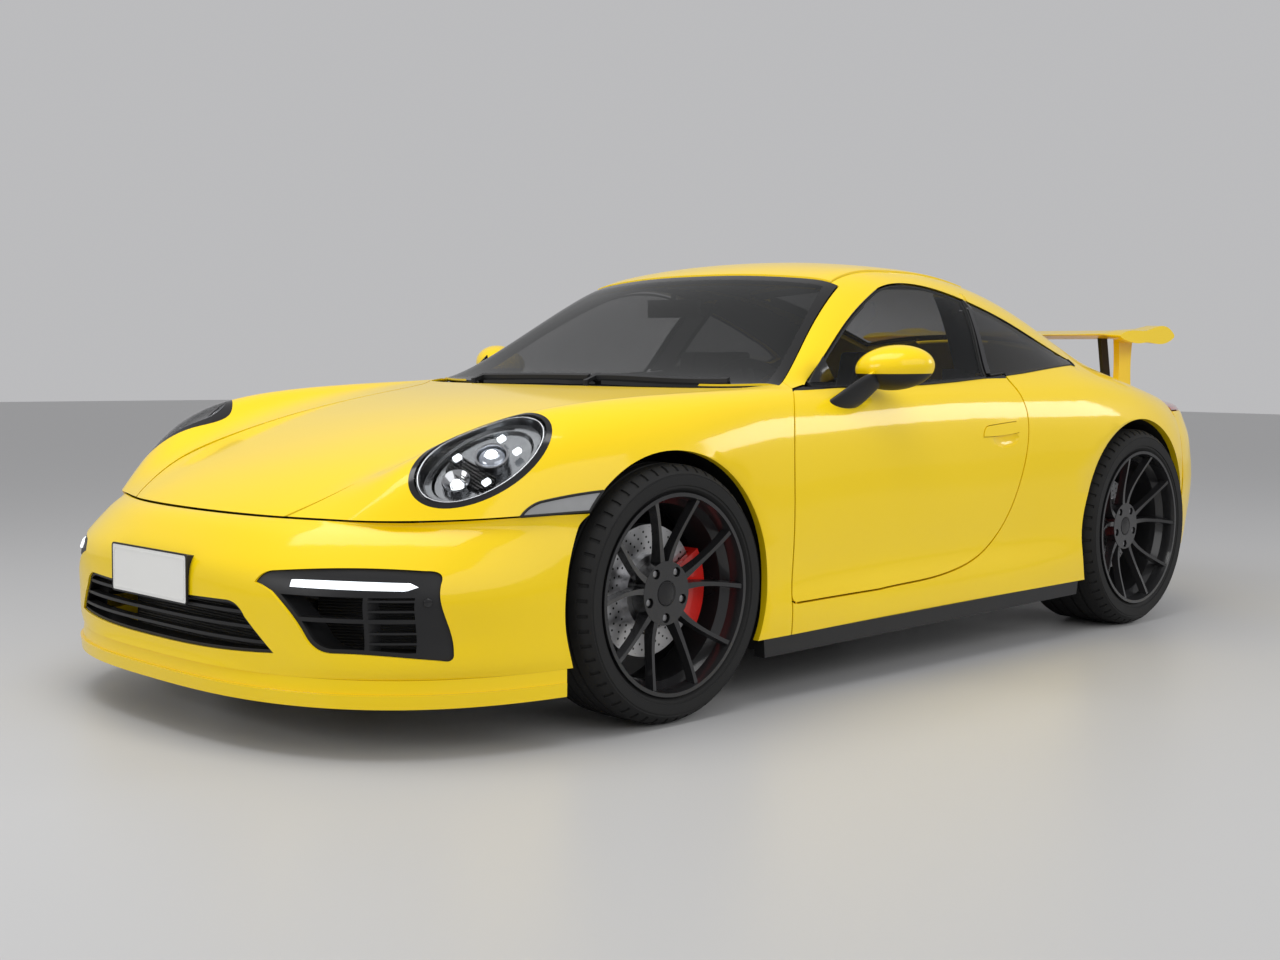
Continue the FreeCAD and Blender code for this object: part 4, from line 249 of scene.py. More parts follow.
sides = (("left", 1.0), ("right", -1.0))
black_plastic = finish("black_plastic", (0.010, 0.010, 0.011), (0.017, 0.017, 0.018), (0.38, 0.50),
                       grain=900.0, bump=0.22)
liner_felt = finish("liner_felt", (0.006, 0.006, 0.006), (0.016, 0.016, 0.016), (0.85, 0.95), grain=350.0,
                    bump=0.6, depth=0.001)
polished_black = finish("polished_black", (0.006, 0.006, 0.007), (0.010, 0.010, 0.011), (0.10, 0.16),
                        grain=120.0, bump=0.02, sheen_level=0.5)
for node in ("cowl", "side_skirts", "diffuser", "intake_inserts", "wipers", "luggage_tub"):
    dressed(node, black_plastic)
dressed("arch_liners", liner_felt)

# The door posts' heads fill their notches in the roof rails, flush with the skin and painted like it.
head_x, rail_edge, glass_end = -0.45, 1.1615, -0.4330
pillars = dressed("door_pillars", polished_black)
only(pillars)
bpy.ops.object.mode_set(mode="EDIT")
for _, sign in sides:
    bpy.ops.mesh.select_all(action="SELECT")
    bpy.ops.mesh.bisect(plane_co=(head_x, sign * 0.620, 1.170), plane_no=(-0.10, sign, 1.0),
                        clear_outer=True, use_fill=True)
bpy.ops.object.mode_set(mode="OBJECT")
cut_flat(pillars, (head_x, 0.0, rail_edge), (0.0, 0.0, 1.0))
cut_flat(pillars, (glass_end, 0.0, rail_edge), (1.0, 0.0, 0.0))
refinish(pillars, yellow_coat,
         lambda centre, normal: centre.z > rail_edge and centre.x < glass_end and normal.z > 0.3)
dressed("headlamps", polished_black)


# ---------------------------------------------------------------- mirrors
# Moulded housings in two halves: a yellow cap above a black lower half and foot, with a silvered glass.
def rounded(piece, offset, segments):
    """Rounds all edges of the piece."""
    only(piece)
    bpy.ops.object.mode_set(mode="EDIT")
    bpy.ops.mesh.select_all(action="SELECT")
    bpy.ops.mesh.bevel(offset=offset, segments=segments)
    bpy.ops.object.mode_set(mode="OBJECT")


def settle(piece, name, material, body, angle=30.0):
    """Applies a new piece's place, shades it and hands it to its body."""
    piece.name = name
    only(piece)
    bpy.ops.object.transform_apply(location=True, rotation=True, scale=True)
    bpy.ops.object.mode_set(mode="EDIT")
    bpy.ops.mesh.select_all(action="SELECT")
    bpy.ops.mesh.remove_doubles(threshold=weld_distance)
    bpy.ops.mesh.normals_make_consistent(inside=False)
    bpy.ops.object.mode_set(mode="OBJECT")
    bpy.ops.object.shade_smooth_by_angle(angle=math.radians(angle))
    piece.data.materials.clear()
    piece.data.materials.append(material)
    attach(piece, body)
    return piece


silvered_glass = finish("silvered_glass", (0.55, 0.57, 0.60), (0.62, 0.64, 0.66), (0.03, 0.06), grain=60.0,
                        bump=0.01, metallic=1.0)
split_x, split_height, split_slope = 0.38, 0.913, 0.02
for side, sign in sides:
    cap = dressed("door_mirror_" + side, yellow_coat, 40.0)
    cut_flat(cap, (split_x, sign * 0.90, split_height), (split_slope, 0.0, 1.0))
    refinish(cap, black_plastic,
             lambda centre, normal: centre.z < split_height + split_slope * (split_x - centre.x))
    bpy.ops.mesh.primitive_cylinder_add(vertices=48, radius=1.0, depth=0.003,
                                        location=(0.2705, sign * 0.905, 0.930),
                                        rotation=(0.0, math.pi / 2, 0.0))
    glass = bpy.context.object
    glass.scale = (0.044, 0.074, 1.0)
    rounded(glass, 0.0008, 2)
    settle(glass, "mirror_glass_" + side, silvered_glass, "door_" + side)


# ---------------------------------------------------------------- window panes
# Laminated and tempered glass, tinted grey. The windscreen and rear window have a black fired border
# over their glue line. The look darkens at a flat angle, as glass does.
def pane_border_group():
    """Mask of the fired border of a pane that is laid out in plan: 1 near its edges."""
    tree = bpy.data.node_groups.new("pane_border", "ShaderNodeTree")
    for name in ("Front", "Front Bow", "Rear", "Rear Bow", "Side", "Side Slope", "Width"):
        tree.interface.new_socket(name, in_out="INPUT", socket_type="NodeSocketFloat")
    tree.interface.new_socket("Mask", in_out="OUTPUT", socket_type="NodeSocketFloat")
    given = tree.nodes.new("NodeGroupInput").outputs
    result = tree.nodes.new("NodeGroupOutput")
    place = tree.nodes.new("ShaderNodeTexCoord")
    split = tree.nodes.new("ShaderNodeSeparateXYZ")
    tree.links.new(place.outputs["Object"], split.inputs[0])
    x, y = split.outputs["X"], split.outputs["Y"]
    calc = calculator(tree)
    square = calc("MULTIPLY", y, y)
    front = calc("SUBTRACT", given["Front"], calc("MULTIPLY", square, given["Front Bow"]))
    rear = calc("ADD", given["Rear"], calc("MULTIPLY", square, given["Rear Bow"]))
    side = calc("ADD", given["Side"], calc("MULTIPLY", x, given["Side Slope"]))
    inside = calc("MINIMUM", calc("SUBTRACT", front, x), calc("SUBTRACT", x, rear))
    inside = calc("MINIMUM", inside, calc("SUBTRACT", side, calc("ABSOLUTE", y)))
    edge = calc("MULTIPLY_ADD", calc("SUBTRACT", given["Width"], inside), 220.0, 0.5)
    tree.links.new(calc("MINIMUM", calc("MAXIMUM", edge, 0.0), 1.0), result.inputs["Mask"])
    return tree


def overlaid(material, mask, color):
    """Lays a plain colour over the material's own one where the mask is 1."""
    base = material.node_tree.nodes["Principled BSDF"].inputs["Base Color"]
    under = base.links[0].from_socket
    material.node_tree.links.new(mixed(material.node_tree, mask, under, color), base)


def tinted_glass(name, tint, veil_level, borders=None):
    """Thin tinted pane: see-through face on, veiled at a flat angle, black in its border."""
    material = finish(name, tint, tuple(0.8 * v for v in tint), (0.02, 0.04), grain=40.0, bump=0.01,
                      sheen_level=0.5)
    tree = material.node_tree
    shader = tree.nodes["Principled BSDF"]
    shader.inputs["IOR"].default_value = 1.5
    facing = tree.nodes.new("ShaderNodeLayerWeight")
    facing.inputs["Blend"].default_value = 0.5
    calc = calculator(tree)
    veil = ranged(tree, calc("POWER", facing.outputs["Facing"], 4.0), veil_level, 1.0)
    if borders:
        border = tree.nodes.new("ShaderNodeGroup")
        border.node_tree = pane_border
        for key, value in borders.items():
            border.inputs[key].default_value = value
        veil = calc("MAXIMUM", veil, border.outputs["Mask"])
        overlaid(material, border.outputs["Mask"], (0.004, 0.004, 0.004))
    tree.links.new(veil, shader.inputs["Alpha"])
    return material


pane_border = pane_border_group()
windscreen_glass = tinted_glass("windscreen_glass", (0.008, 0.009, 0.009), 0.56, {
    "Front": 0.811, "Front Bow": 0.085, "Rear": 0.236, "Rear Bow": -0.178, "Side": 0.487,
    "Side Slope": 0.385, "Width": 0.036})
rear_glass = tinted_glass("rear_glass", (0.012, 0.013, 0.014), 0.40, {
    "Front": -0.661, "Front Bow": -0.14, "Rear": -1.318, "Rear Bow": 0.10, "Side": 0.558,
    "Side Slope": 0.105, "Width": 0.040})
side_glass = tinted_glass("side_glass", (0.014, 0.016, 0.017), 0.11)
quarter_glass = tinted_glass("quarter_glass", (0.008, 0.009, 0.010), 0.50)
for node, glass in (("windscreen", windscreen_glass), ("rear_window", rear_glass),
                    ("quarter_windows", quarter_glass), ("door_glass_left", side_glass),
                    ("door_glass_right", side_glass)):
    dressed(node, glass, 40.0)


# ---------------------------------------------------------------- window seals
# Extruded black rubber that runs round each side pane, pressed over its edge, and a black corner plate
# of each door window, behind the mirror, glued to the door's frame.
def drop_points(piece, keep):
    """Opens the piece in edit mode and deletes the vertices that aren't to be kept, and their faces."""
    for items in (piece.data.polygons, piece.data.edges):
        for item in items:
            item.select = False
    for vertex in piece.data.vertices:
        vertex.select = not keep(vertex.co)
    only(piece)
    bpy.ops.object.mode_set(mode="EDIT")
    bpy.ops.mesh.select_mode(type="VERT")
    bpy.ops.mesh.delete(type="VERT")


def corded(piece, radius):
    """Turns a piece that is only edges into a round cord."""
    only(piece)
    bpy.ops.object.convert(target="CURVE")
    cord = bpy.context.object
    cord.data.bevel_depth = radius
    cord.data.bevel_resolution = 2
    bpy.ops.object.convert(target="MESH")
    return bpy.context.object


def edge_seal(node, radius, name, keep=lambda place: True):
    """Round seal along the sharp edges of a pane, or of those solids of a node that are wanted."""
    piece = placed(name, frame["nodes"][node].data.copy())
    only(piece)
    bpy.ops.mesh.customdata_custom_splitnormals_clear()
    drop_points(piece, keep)
    bpy.ops.mesh.select_mode(type="EDGE")
    bpy.ops.mesh.select_all(action="SELECT")
    bpy.ops.mesh.remove_doubles(threshold=weld_distance)
    bpy.ops.mesh.select_all(action="DESELECT")
    bpy.ops.mesh.edges_select_sharp(sharpness=math.radians(50.0))
    bpy.ops.mesh.select_all(action="INVERT")
    bpy.ops.mesh.delete(type="EDGE_FACE")
    bpy.ops.mesh.select_all(action="SELECT")
    bpy.ops.mesh.dissolve_limited(angle_limit=math.radians(1.0))
    bpy.ops.object.mode_set(mode="OBJECT")
    return settle(corded(piece, radius), name, seal_rubber, bodies[node], 50.0)


def thickened(piece, thickness, offset=-1.0):
    """Gives a sheet its thickness."""
    only(piece)
    wall = piece.modifiers.new("wall", "SOLIDIFY")
    wall.thickness = thickness
    wall.offset = offset
    bpy.ops.object.modifier_apply(modifier="wall")


seal_rubber = finish("seal_rubber", (0.008, 0.008, 0.008), (0.014, 0.014, 0.014), (0.50, 0.65),
                     grain=700.0, bump=0.15)
for side, _ in sides:
    edge_seal("door_glass_" + side, 0.0042, "door_glass_seal_" + side)
edge_seal("quarter_windows", 0.0036, "quarter_window_seals")

corner_outline = ((0.508, 0.962), (0.480, 0.886), (0.592, 0.884))
for side, sign in sides:
    bpy.ops.mesh.primitive_circle_add(vertices=3, radius=0.05, fill_type="NGON")
    plate = bpy.context.object
    for vertex, (x, z) in zip(plate.data.vertices, corner_outline):
        # the plate leans with the door's skin
        vertex.co = (x, sign * (0.7905 + 0.28 * (0.884 - z) + 0.11 * (0.50 - x)), z)
    thickened(plate, 0.005)
    rounded(plate, 0.0012, 2)
    settle(plate, "window_corner_" + side, polished_black, "door_" + side)


# ---------------------------------------------------------------- tyres
# Moulded rubber: four grooves round the tread, cut shoulder blocks, and ribs and a rim guard on the
# sidewall. Fitted over the rim's bead. Left without lettering.
def spun(points, steps, axis):
    """Closed outline of points, spun a full turn about an axis through the origin."""
    bpy.ops.mesh.primitive_circle_add(vertices=len(points), radius=0.1)
    piece = bpy.context.object
    for vertex, point in zip(piece.data.vertices, points):
        vertex.co = point
    only(piece)
    bpy.ops.object.mode_set(mode="EDIT")
    bpy.ops.mesh.select_all(action="SELECT")
    bpy.ops.mesh.spin(steps=steps, angle=math.tau, center=(0.0, 0.0, 0.0), axis=axis)
    bpy.ops.object.mode_set(mode="OBJECT")
    return piece


def spun_tyre(name, width, radius, rim_width, rim_radius):
    """Tyre about the Y axis at the origin, spun from its section, with notched shoulders."""
    half, bead = width / 2.0, rim_radius - 0.008
    seat = rim_width / 2.0 - 0.0143
    middle = (bead + radius) / 2.0 + 0.006
    outer = [(seat, bead), (seat + 0.003, rim_radius + 0.002), (half - 0.0045, rim_radius + 0.0125),
             (half - 0.0045, rim_radius + 0.0185), (half - 0.0015, rim_radius + 0.0200),
             (half - 0.0002, middle - 0.004), (half - 0.0002, middle + 0.004),
             (half - 0.0020, middle + 0.0052), (half - 0.0022, middle + 0.0085),
             (half - 0.0010, middle + 0.0100), (half - 0.0022, middle + 0.0115),
             (half - 0.0095, radius - 0.0190), (half - 0.0190, radius - 0.0098),
             (half - 0.0345, radius - 0.0024)]
    tread = half - 0.034
    for groove in (0.62, 0.22):
        centre = groove * tread
        height = radius - 0.0018 * (centre / tread) ** 2
        outer += [(centre + 0.0058, height), (centre + 0.0040, height - 0.0068),
                  (centre - 0.0040, height - 0.0068), (centre - 0.0058, height)]
    inner = [(half - 0.050, radius - 0.016), (half - 0.024, radius - 0.045), (half - 0.022, bead + 0.030),
             (seat - 0.010, bead + 0.004)]
    points = outer + [(-w, r) for w, r in reversed(outer)] + [(-w, r) for w, r in reversed(inner)] + inner
    tyre = spun([(0.0, w, r) for w, r in points], tyre_steps, (0.0, 1.0, 0.0))
    bpy.ops.object.mode_set(mode="EDIT")
    bpy.ops.mesh.select_all(action="SELECT")
    bpy.ops.mesh.remove_doubles(threshold=0.00005)
    bpy.ops.mesh.normals_make_consistent(inside=False)
    bpy.ops.object.mode_set(mode="OBJECT")
    bpy.ops.object.shade_smooth_by_angle(angle=math.radians(32.0))
    # the notches: every fourth step of the two shoulder bands is pressed in, set over from side to side
    for face in tyre.data.polygons:
        c = face.center
        on_shoulder = (radius - 0.0180 < math.hypot(c.x, c.z) < radius - 0.0010
                       and abs(c.y) > half - 0.036 and face.normal.y * c.y > 0.0)
        step = math.floor(math.atan2(c.x, c.z) / math.tau * tyre_steps)
        face.select = bool(on_shoulder and step % 4 == (0 if c.y > 0 else 2))
    for items in (tyre.data.vertices, tyre.data.edges):
        for item in items:
            item.select = False
    bpy.ops.object.mode_set(mode="EDIT")
    bpy.ops.mesh.select_mode(type="FACE")
    bpy.ops.mesh.inset(thickness=0.0014, depth=-0.0045)
    bpy.ops.object.mode_set(mode="OBJECT")
    return settle(tyre, name, tyre_rubber, "body", 32.0)


tyre_rubber = finish("tyre_rubber", (0.012, 0.012, 0.012), (0.020, 0.020, 0.020), (0.62, 0.78), grain=420.0,
                     bump=0.25, depth=0.0006, cloud=9.0, sheen_level=0.2)
tyre_steps = 216
# axle x, middle of the wheel, tyre radius and width, rim width and radius, disc radius
wheels = {"front": (1.262, 0.792, 0.340, 0.245, 0.230, 0.265, 0.175),
          "rear": (-1.188, 0.762, 0.358, 0.305, 0.300, 0.278, 0.165)}
for end, (x, y, radius, width, rim_width, rim_radius, _) in wheels.items():
    pattern = spun_tyre("tyre_tread_" + end, width, radius, rim_width, rim_radius)
    for side, sign in sides:
        here = "%s_%s" % (end, side)
        tyre = placed("tyre_tread_" + here, pattern.data.copy())
        facing = Matrix.Rotation(0.0 if sign > 0 else math.pi, 4, "Z")
        tyre.data.transform(Matrix.Translation((x, sign * y, radius)) @ facing)
        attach(tyre, "wheel_" + here)
        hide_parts("tyre_" + here)
    bpy.data.objects.remove(pattern)


# ---------------------------------------------------------------- wheels and brakes
# Forged rims in satin black with five pairs of spokes, five bolts and a plain pressed cap. Drilled
# discs on silver bells, their holes painted on as near-black spots of painted shade, and red fixed
# calipers bolted to the uprights.
def disc_finish(name, centre, inner, outer):
    """Turned iron with rows of drilled holes between the inner and outer radius about the wheel's axle, the
    holes painted near-black as painted shade.
    """
    holes_round, row_gap, hole_radius, margin = 30.0, 0.0145, 0.0033, 0.006
    material = finish(name, (0.46, 0.46, 0.47), (0.60, 0.60, 0.61), (0.28, 0.42), grain=260.0, bump=0.15,
                      metallic=1.0)
    tree = material.node_tree
    place = tree.nodes.new("ShaderNodeTexCoord")
    about = tree.nodes.new("ShaderNodeMapping")
    about.inputs["Location"].default_value = tuple(-c for c in centre)
    tree.links.new(place.outputs["Object"], about.inputs["Vector"])
    split = tree.nodes.new("ShaderNodeSeparateXYZ")
    tree.links.new(about.outputs[0], split.inputs[0])
    px, pz = split.outputs["X"], split.outputs["Z"]
    calc = calculator(tree)
    reach = calc("SQRT", calc("ADD", calc("MULTIPLY", px, px), calc("MULTIPLY", pz, pz)))
    turn = calc("MULTIPLY", calc("ARCTAN2", px, pz), holes_round / math.tau)
    row = calc("DIVIDE", calc("SUBTRACT", reach, inner + 0.008), row_gap)
    # each row is set over by a third of the spacing, as drilled patterns are
    swept = calc("SUBTRACT", turn, calc("MULTIPLY", calc("FLOOR", row), 0.33))
    spacing = calc("MULTIPLY", reach, math.tau / holes_round)
    across = calc("MULTIPLY", calc("SUBTRACT", calc("FRACT", swept), 0.5), spacing)
    along = calc("MULTIPLY", calc("SUBTRACT", calc("FRACT", row), 0.5), row_gap)
    away = calc("ADD", calc("MULTIPLY", across, across), calc("MULTIPLY", along, along))
    hole = calc("LESS_THAN", away, hole_radius ** 2)
    band = calc("MULTIPLY", calc("GREATER_THAN", reach, inner + margin),
                calc("LESS_THAN", reach, outer - margin))
    # the holes are not cut: each is painted near-black as painted shade of its inside, and is not metallic
    # there
    painted_hole_shade = calc("MULTIPLY", hole, band)
    overlaid(material, calc("LESS_THAN", reach, inner), (0.62, 0.62, 0.63))
    overlaid(material, painted_hole_shade, (0.010, 0.010, 0.010))
    metallic = tree.nodes["Principled BSDF"].inputs["Metallic"]
    tree.links.new(calc("SUBTRACT", 1.0, painted_hole_shade), metallic)
    return material


def skin_of(node):
    """Search tree of a CAD node's surface, for setting pieces on it."""
    mesh = frame["nodes"][node].data
    faces = [tuple(face.vertices) for face in mesh.polygons]
    return BVHTree.FromPolygons([vertex.co.copy() for vertex in mesh.vertices], faces)


def touch(tree, start, direction):
    """Point and outward normal where a ray first meets a surface."""
    place, normal, _, _ = tree.ray_cast(Vector(start), Vector(direction))
    return place, normal


rim_black = finish("rim_black", (0.012, 0.012, 0.013), (0.020, 0.020, 0.021), (0.24, 0.34), grain=300.0,
                   bump=0.06, coat=0.5)
cap_black = finish("cap_black", (0.010, 0.010, 0.011), (0.016, 0.016, 0.017), (0.12, 0.2), grain=200.0,
                   bump=0.04)
bolt_steel = finish("bolt_steel", (0.20, 0.20, 0.21), (0.32, 0.32, 0.33), (0.30, 0.42), grain=500.0,
                    bump=0.2, metallic=1.0)
caliper_paint = finish("caliper_paint", (0.60, 0.012, 0.008), (0.72, 0.020, 0.012), (0.22, 0.32),
                       grain=140.0, bump=0.12, coat=0.6)
disc_inner, bolt_count, bolt_circle, bolt_sunk = 0.098, 5, 0.065, 0.013
# section of the cap as (distance out from the hub's face, radius)
cap_section = ((-0.006, 0.0001), (-0.006, 0.0325), (0.0002, 0.0325), (0.0016, 0.0312), (0.0018, 0.0285),
               (0.0008, 0.0275), (0.0014, 0.0200), (0.0020, 0.0100), (0.0022, 0.0001))
for end, (x, y, radius, _, _, _, disc_outer) in wheels.items():
    for side, sign in sides:
        here = "%s_%s" % (end, side)
        body = "wheel_" + here
        dressed("rim_" + here, rim_black, 35.0)
        disc_iron = disc_finish("disc_iron_" + here, (x, sign * y, radius), disc_inner, disc_outer)
        dressed("disc_" + here, disc_iron, 35.0)
        face, _ = touch(skin_of("rim_" + here), (x + 0.050, sign * 1.2, radius), (0.0, -sign, 0.0))
        face_y = abs(face.y)
        cap = spun([(0.0, sign * out, reach) for out, reach in cap_section], 48, (0.0, 1.0, 0.0))
        cap.location = (x, sign * face_y, radius)
        settle(cap, "wheel_cap_" + here, cap_black, body, 35.0)
        for number in range(bolt_count):
            angle = math.tau * (number + 0.5) / bolt_count
            spot = (x + bolt_circle * math.sin(angle), sign * (face_y - bolt_sunk),
                    radius + bolt_circle * math.cos(angle))
            bpy.ops.mesh.primitive_cylinder_add(vertices=6, radius=0.0098, depth=0.016, location=spot,
                                                rotation=(math.pi / 2, 0.0, 0.0))
            bolt = bpy.context.object
            rounded(bolt, 0.0012, 2)
            settle(bolt, "wheel_bolt_%s_%d" % (here, number + 1), bolt_steel, body)
for node in ("caliper_left", "caliper_right", "rear_calipers"):
    dressed(node, caliper_paint, 35.0)

# ---------------------------------------------------------------- axles, underside, engine and exhaust
# Cast aluminium arms and uprights bolted to their frames, a floor pan coated in dark sealer, a cast
# engine block, and welded pipes of brushed steel.
cast_metal = finish("cast_metal", (0.24, 0.24, 0.25), (0.36, 0.36, 0.37), (0.45, 0.62), grain=240.0,
                    bump=0.35, depth=0.0008, metallic=0.8)
underbody_coat = finish("underbody_coat", (0.014, 0.014, 0.015), (0.026, 0.026, 0.027), (0.60, 0.78),
                        grain=180.0, bump=0.4, depth=0.0008)
brushed_pipe = finish("brushed_pipe", (0.42, 0.41, 0.40), (0.56, 0.55, 0.54), (0.20, 0.34), grain=500.0,
                      bump=0.12, metallic=1.0)
for node in ("knuckle_left", "knuckle_right", "front_axle", "rear_axle"):
    dressed(node, cast_metal)
dressed("floor_pan", underbody_coat)
dressed("engine_block", cast_metal)
dressed("exhaust", brushed_pipe, 35.0)

# ---------------------------------------------------------------- rear wing
# Moulded blade on two struts, bolted to the engine lid: yellow on top and at its swept-up ends, black
# beneath and on the struts.
wing = dressed("rear_wing", yellow_coat, 40.0)
refinish(wing, black_plastic, lambda centre, normal: abs(centre.y) < 0.470 and centre.z < 1.055)

# ---------------------------------------------------------------- number plate
# Pressed white aluminium plate with a raised rim, in a thin black frame that is screwed to the nose.
# It carries no characters.
plate_white = finish("plate_white", (0.78, 0.78, 0.76), (0.84, 0.84, 0.82), (0.28, 0.38), grain=200.0,
                     bump=0.04)
plate = dressed("number_plate", plate_white)
refinish(plate, black_plastic, lambda centre, normal: normal.x < 0.5)
lows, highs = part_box("number_plate")
middle_z, half_height, half_width = (lows.z + highs.z) / 2.0, (highs.z - lows.z) / 2.0, highs.y
# name, how far the band stands out past the plate's edge, its width and thickness, its middle behind
# the plate's face, its finish and slot
for name, beyond, thick, behind, material, slot in (
        ("plate_frame", 0.0045, 0.0042, 0.0012, black_plastic, "plastic_black"),
        ("plate_rim", -0.0075, 0.0018, -0.0002, plate_white, "plate_white")):
    bpy.ops.mesh.primitive_plane_add(size=2.0, location=(0.0, 0.0, 0.0))
    band = bpy.context.object
    band.scale = (half_height + beyond, half_width + beyond, 1.0)
    only(band)
    bpy.ops.object.transform_apply(location=False, rotation=False, scale=True)
    bpy.ops.object.mode_set(mode="EDIT")
    bpy.ops.mesh.select_all(action="SELECT")
    bpy.ops.mesh.bevel(offset=0.010, segments=4, affect="VERTICES")
    bpy.ops.mesh.select_all(action="SELECT")
    bpy.ops.mesh.inset(thickness=thick)
    bpy.ops.mesh.delete(type="FACE")
    bpy.ops.object.mode_set(mode="OBJECT")
    thickened(band, thick, 0.0)
    band.rotation_euler = (0.0, math.pi / 2, 0.0)
    band.location = (highs.x - behind, 0.0, middle_z)
    settle(band, name, material, "body")


# ---------------------------------------------------------------- lamp lenses
# Clear polycarbonate covers over the headlamps, white light bars in the front intakes and smoked
# side markers ahead of the front wheels. Bonded into their frames.
def kept_part(node, name, material, keep, angle=35.0):
    """Stand-in for those solids of a node whose points are wanted."""
    piece = dressed(node, material, angle, name)
    drop_points(piece, keep)
    bpy.ops.object.mode_set(mode="OBJECT")
    return piece


def lamp_glow(name, color, strength):
    """Lit surface, a little uneven like a light guide."""
    material = finish(name, color, tuple(0.92 * v for v in color), (0.15, 0.25), grain=90.0, bump=0.02)
    tree = material.node_tree
    shader = tree.nodes["Principled BSDF"]
    base = shader.inputs["Base Color"].links[0].from_socket
    tree.links.new(base, shader.inputs["Emission Color"])
    shader.inputs["Emission Strength"].default_value = strength
    return material


def on_headlamp(c):
    """The point belongs to a headlamp's cover."""
    return c.z > 0.59 and c.x > 1.55 and abs(c.y) < 0.815


def on_marker(c):
    """The point belongs to a side marker."""
    return 0.5 < c.z < 0.63 and abs(c.y) > 0.825 and c.x < 1.76


lens_clear = tinted_glass("lens_clear", (0.020, 0.021, 0.023), 0.03)
marker_smoke = finish("marker_smoke", (0.16, 0.165, 0.17), (0.26, 0.265, 0.27), (0.14, 0.22), grain=60.0,
                      bump=0.03, cloud=14.0, coat=0.5)
bar_glow = lamp_glow("bar_glow", (0.90, 0.95, 1.0), 1.1)
kept_part("lamp_covers", "headlamp_lenses", lens_clear, on_headlamp)
kept_part("lamp_covers", "light_bars", bar_glow, lambda c: c.z < 0.45)
kept_part("lamp_covers", "side_markers", marker_smoke, on_marker)
edge_seal("lamp_covers", 0.0034, "side_marker_frames", on_marker)


# ---------------------------------------------------------------- headlamp insides
# Chromed dish with a main projector, a small front lamp and four daytime light blocks, clipped into
# the black housing. Built for the left lamp in its own axes, then mirrored to the right.
def mirrored(piece, name):
    """The piece's twin on the car's other side, with its own mesh."""
    twin = placed(name, piece.data.copy())
    twin.data.transform(Matrix.Scale(-1.0, 4, (0.0, 1.0, 0.0)))
    only(twin)
    bpy.ops.object.mode_set(mode="EDIT")
    bpy.ops.mesh.select_all(action="SELECT")
    bpy.ops.mesh.normals_make_consistent(inside=False)
    bpy.ops.object.mode_set(mode="OBJECT")
    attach(twin, "body")


def fit_lamp(piece, name, material, angle=30.0, place=(0.0, 0.0, 0.0), turn=0.0):
    """Sets a piece into the left lamp, by the lamp's own axes, and its twin into the right one."""
    piece.matrix_world = lamp_frame @ Matrix.Translation(place) @ Matrix.Rotation(turn, 4, "Z")
    settle(piece, name + "_left", material, "body", angle)
    mirrored(piece, name + "_right")


def lamp_part(name, section, along, wide, material, steps=40):
    """Turned part of a lamp, about the lamp's own axis. Section: (radius, height) pairs."""
    part = spun([(radius, 0.0, height) for radius, height in section], steps, (0.0, 0.0, 1.0))
    fit_lamp(part, name, material, 35.0, (along, wide, 0.0))


def lamp_ring(scale, drop):
    """Points of an oval inside the lamp, each a set distance under the lens."""
    points = []
    for step in range(ring_points):
        turn = math.tau * step / ring_points
        u, w = half_long * scale * math.cos(turn), half_wide * scale * math.sin(turn)
        near, place = 0.97, None
        while place is None:
            # a ray that misses the lens is tried again nearer to the lamp's middle
            place, _ = touch(lens_skin, lamp_frame @ Vector((u * near, w * near, 0.3)), -lamp_axis)
            near -= 0.03
        points.append((u, w, (lamp_frame.inverted() @ place).z - drop))
    return points


def soft_block(size, offset, segments):
    """Block of the given size about the origin, with rounded edges."""
    bpy.ops.mesh.primitive_cube_add(size=1.0)
    block = bpy.context.object
    block.scale = size
    only(block)
    bpy.ops.object.transform_apply(location=False, rotation=False, scale=True)
    rounded(block, offset, segments)
    return block


chrome = finish("chrome", (0.42, 0.43, 0.45), (0.60, 0.61, 0.63), (0.06, 0.14), grain=90.0, bump=0.04,
                metallic=1.0)
smoke_chrome = finish("smoke_chrome", (0.055, 0.058, 0.062), (0.12, 0.125, 0.13), (0.14, 0.24), grain=60.0,
                      bump=0.04, metallic=1.0, cloud=12.0)
lamp_beam = lamp_glow("lamp_beam", (0.95, 0.98, 1.0), 7.0)
daytime_glow = lamp_glow("daytime_glow", (0.90, 0.95, 1.0), 1.6)
lens_bead = finish("lens_bead", (0.30, 0.33, 0.38), (0.50, 0.53, 0.58), (0.03, 0.06), grain=40.0, bump=0.02,
                   metallic=0.6, cloud=30.0)
lamp_axis = Vector((0.521, 0.427, 0.739)).normalized()
lamp_long = Vector((0.851, -0.194, -0.489)).normalized()
lamp_wide = lamp_axis.cross(lamp_long).normalized()
lamp_turn = Matrix((lamp_long, lamp_wide, lamp_axis)).transposed().to_4x4()
lamp_frame = Matrix.Translation((1.753, 0.706, 0.702)) @ lamp_turn
lens_skin = skin_of("lamp_covers")

# the dish: ovals that step down from the lens's edge to its floor, joined as a grid and closed there
ring_points, half_long, half_wide, rim_scale, dish_floor = 72, 0.187, 0.107, 0.975, -0.038
rings = [lamp_ring(rim_scale, 0.011), lamp_ring(0.935, 0.012)]
for scale, height in ((0.90, -0.022), (0.84, -0.0265), (0.78, -0.0265), (0.74, -0.035), (0.30, dish_floor)):
    rings.append([(u * scale / rim_scale, w * scale / rim_scale, height) for u, w, _ in rings[0]])
bpy.ops.mesh.primitive_grid_add(x_subdivisions=ring_points, y_subdivisions=len(rings) - 1, size=1.0)
dish = bpy.context.object
for index, vertex in enumerate(dish.data.vertices):
    row, column = divmod(index, ring_points + 1)
    vertex.co = rings[row][column % ring_points]
only(dish)
bpy.ops.object.mode_set(mode="EDIT")
bpy.ops.mesh.select_all(action="SELECT")
bpy.ops.mesh.remove_doubles(threshold=0.00005)
bpy.ops.mesh.select_all(action="DESELECT")
bpy.ops.object.mode_set(mode="OBJECT")
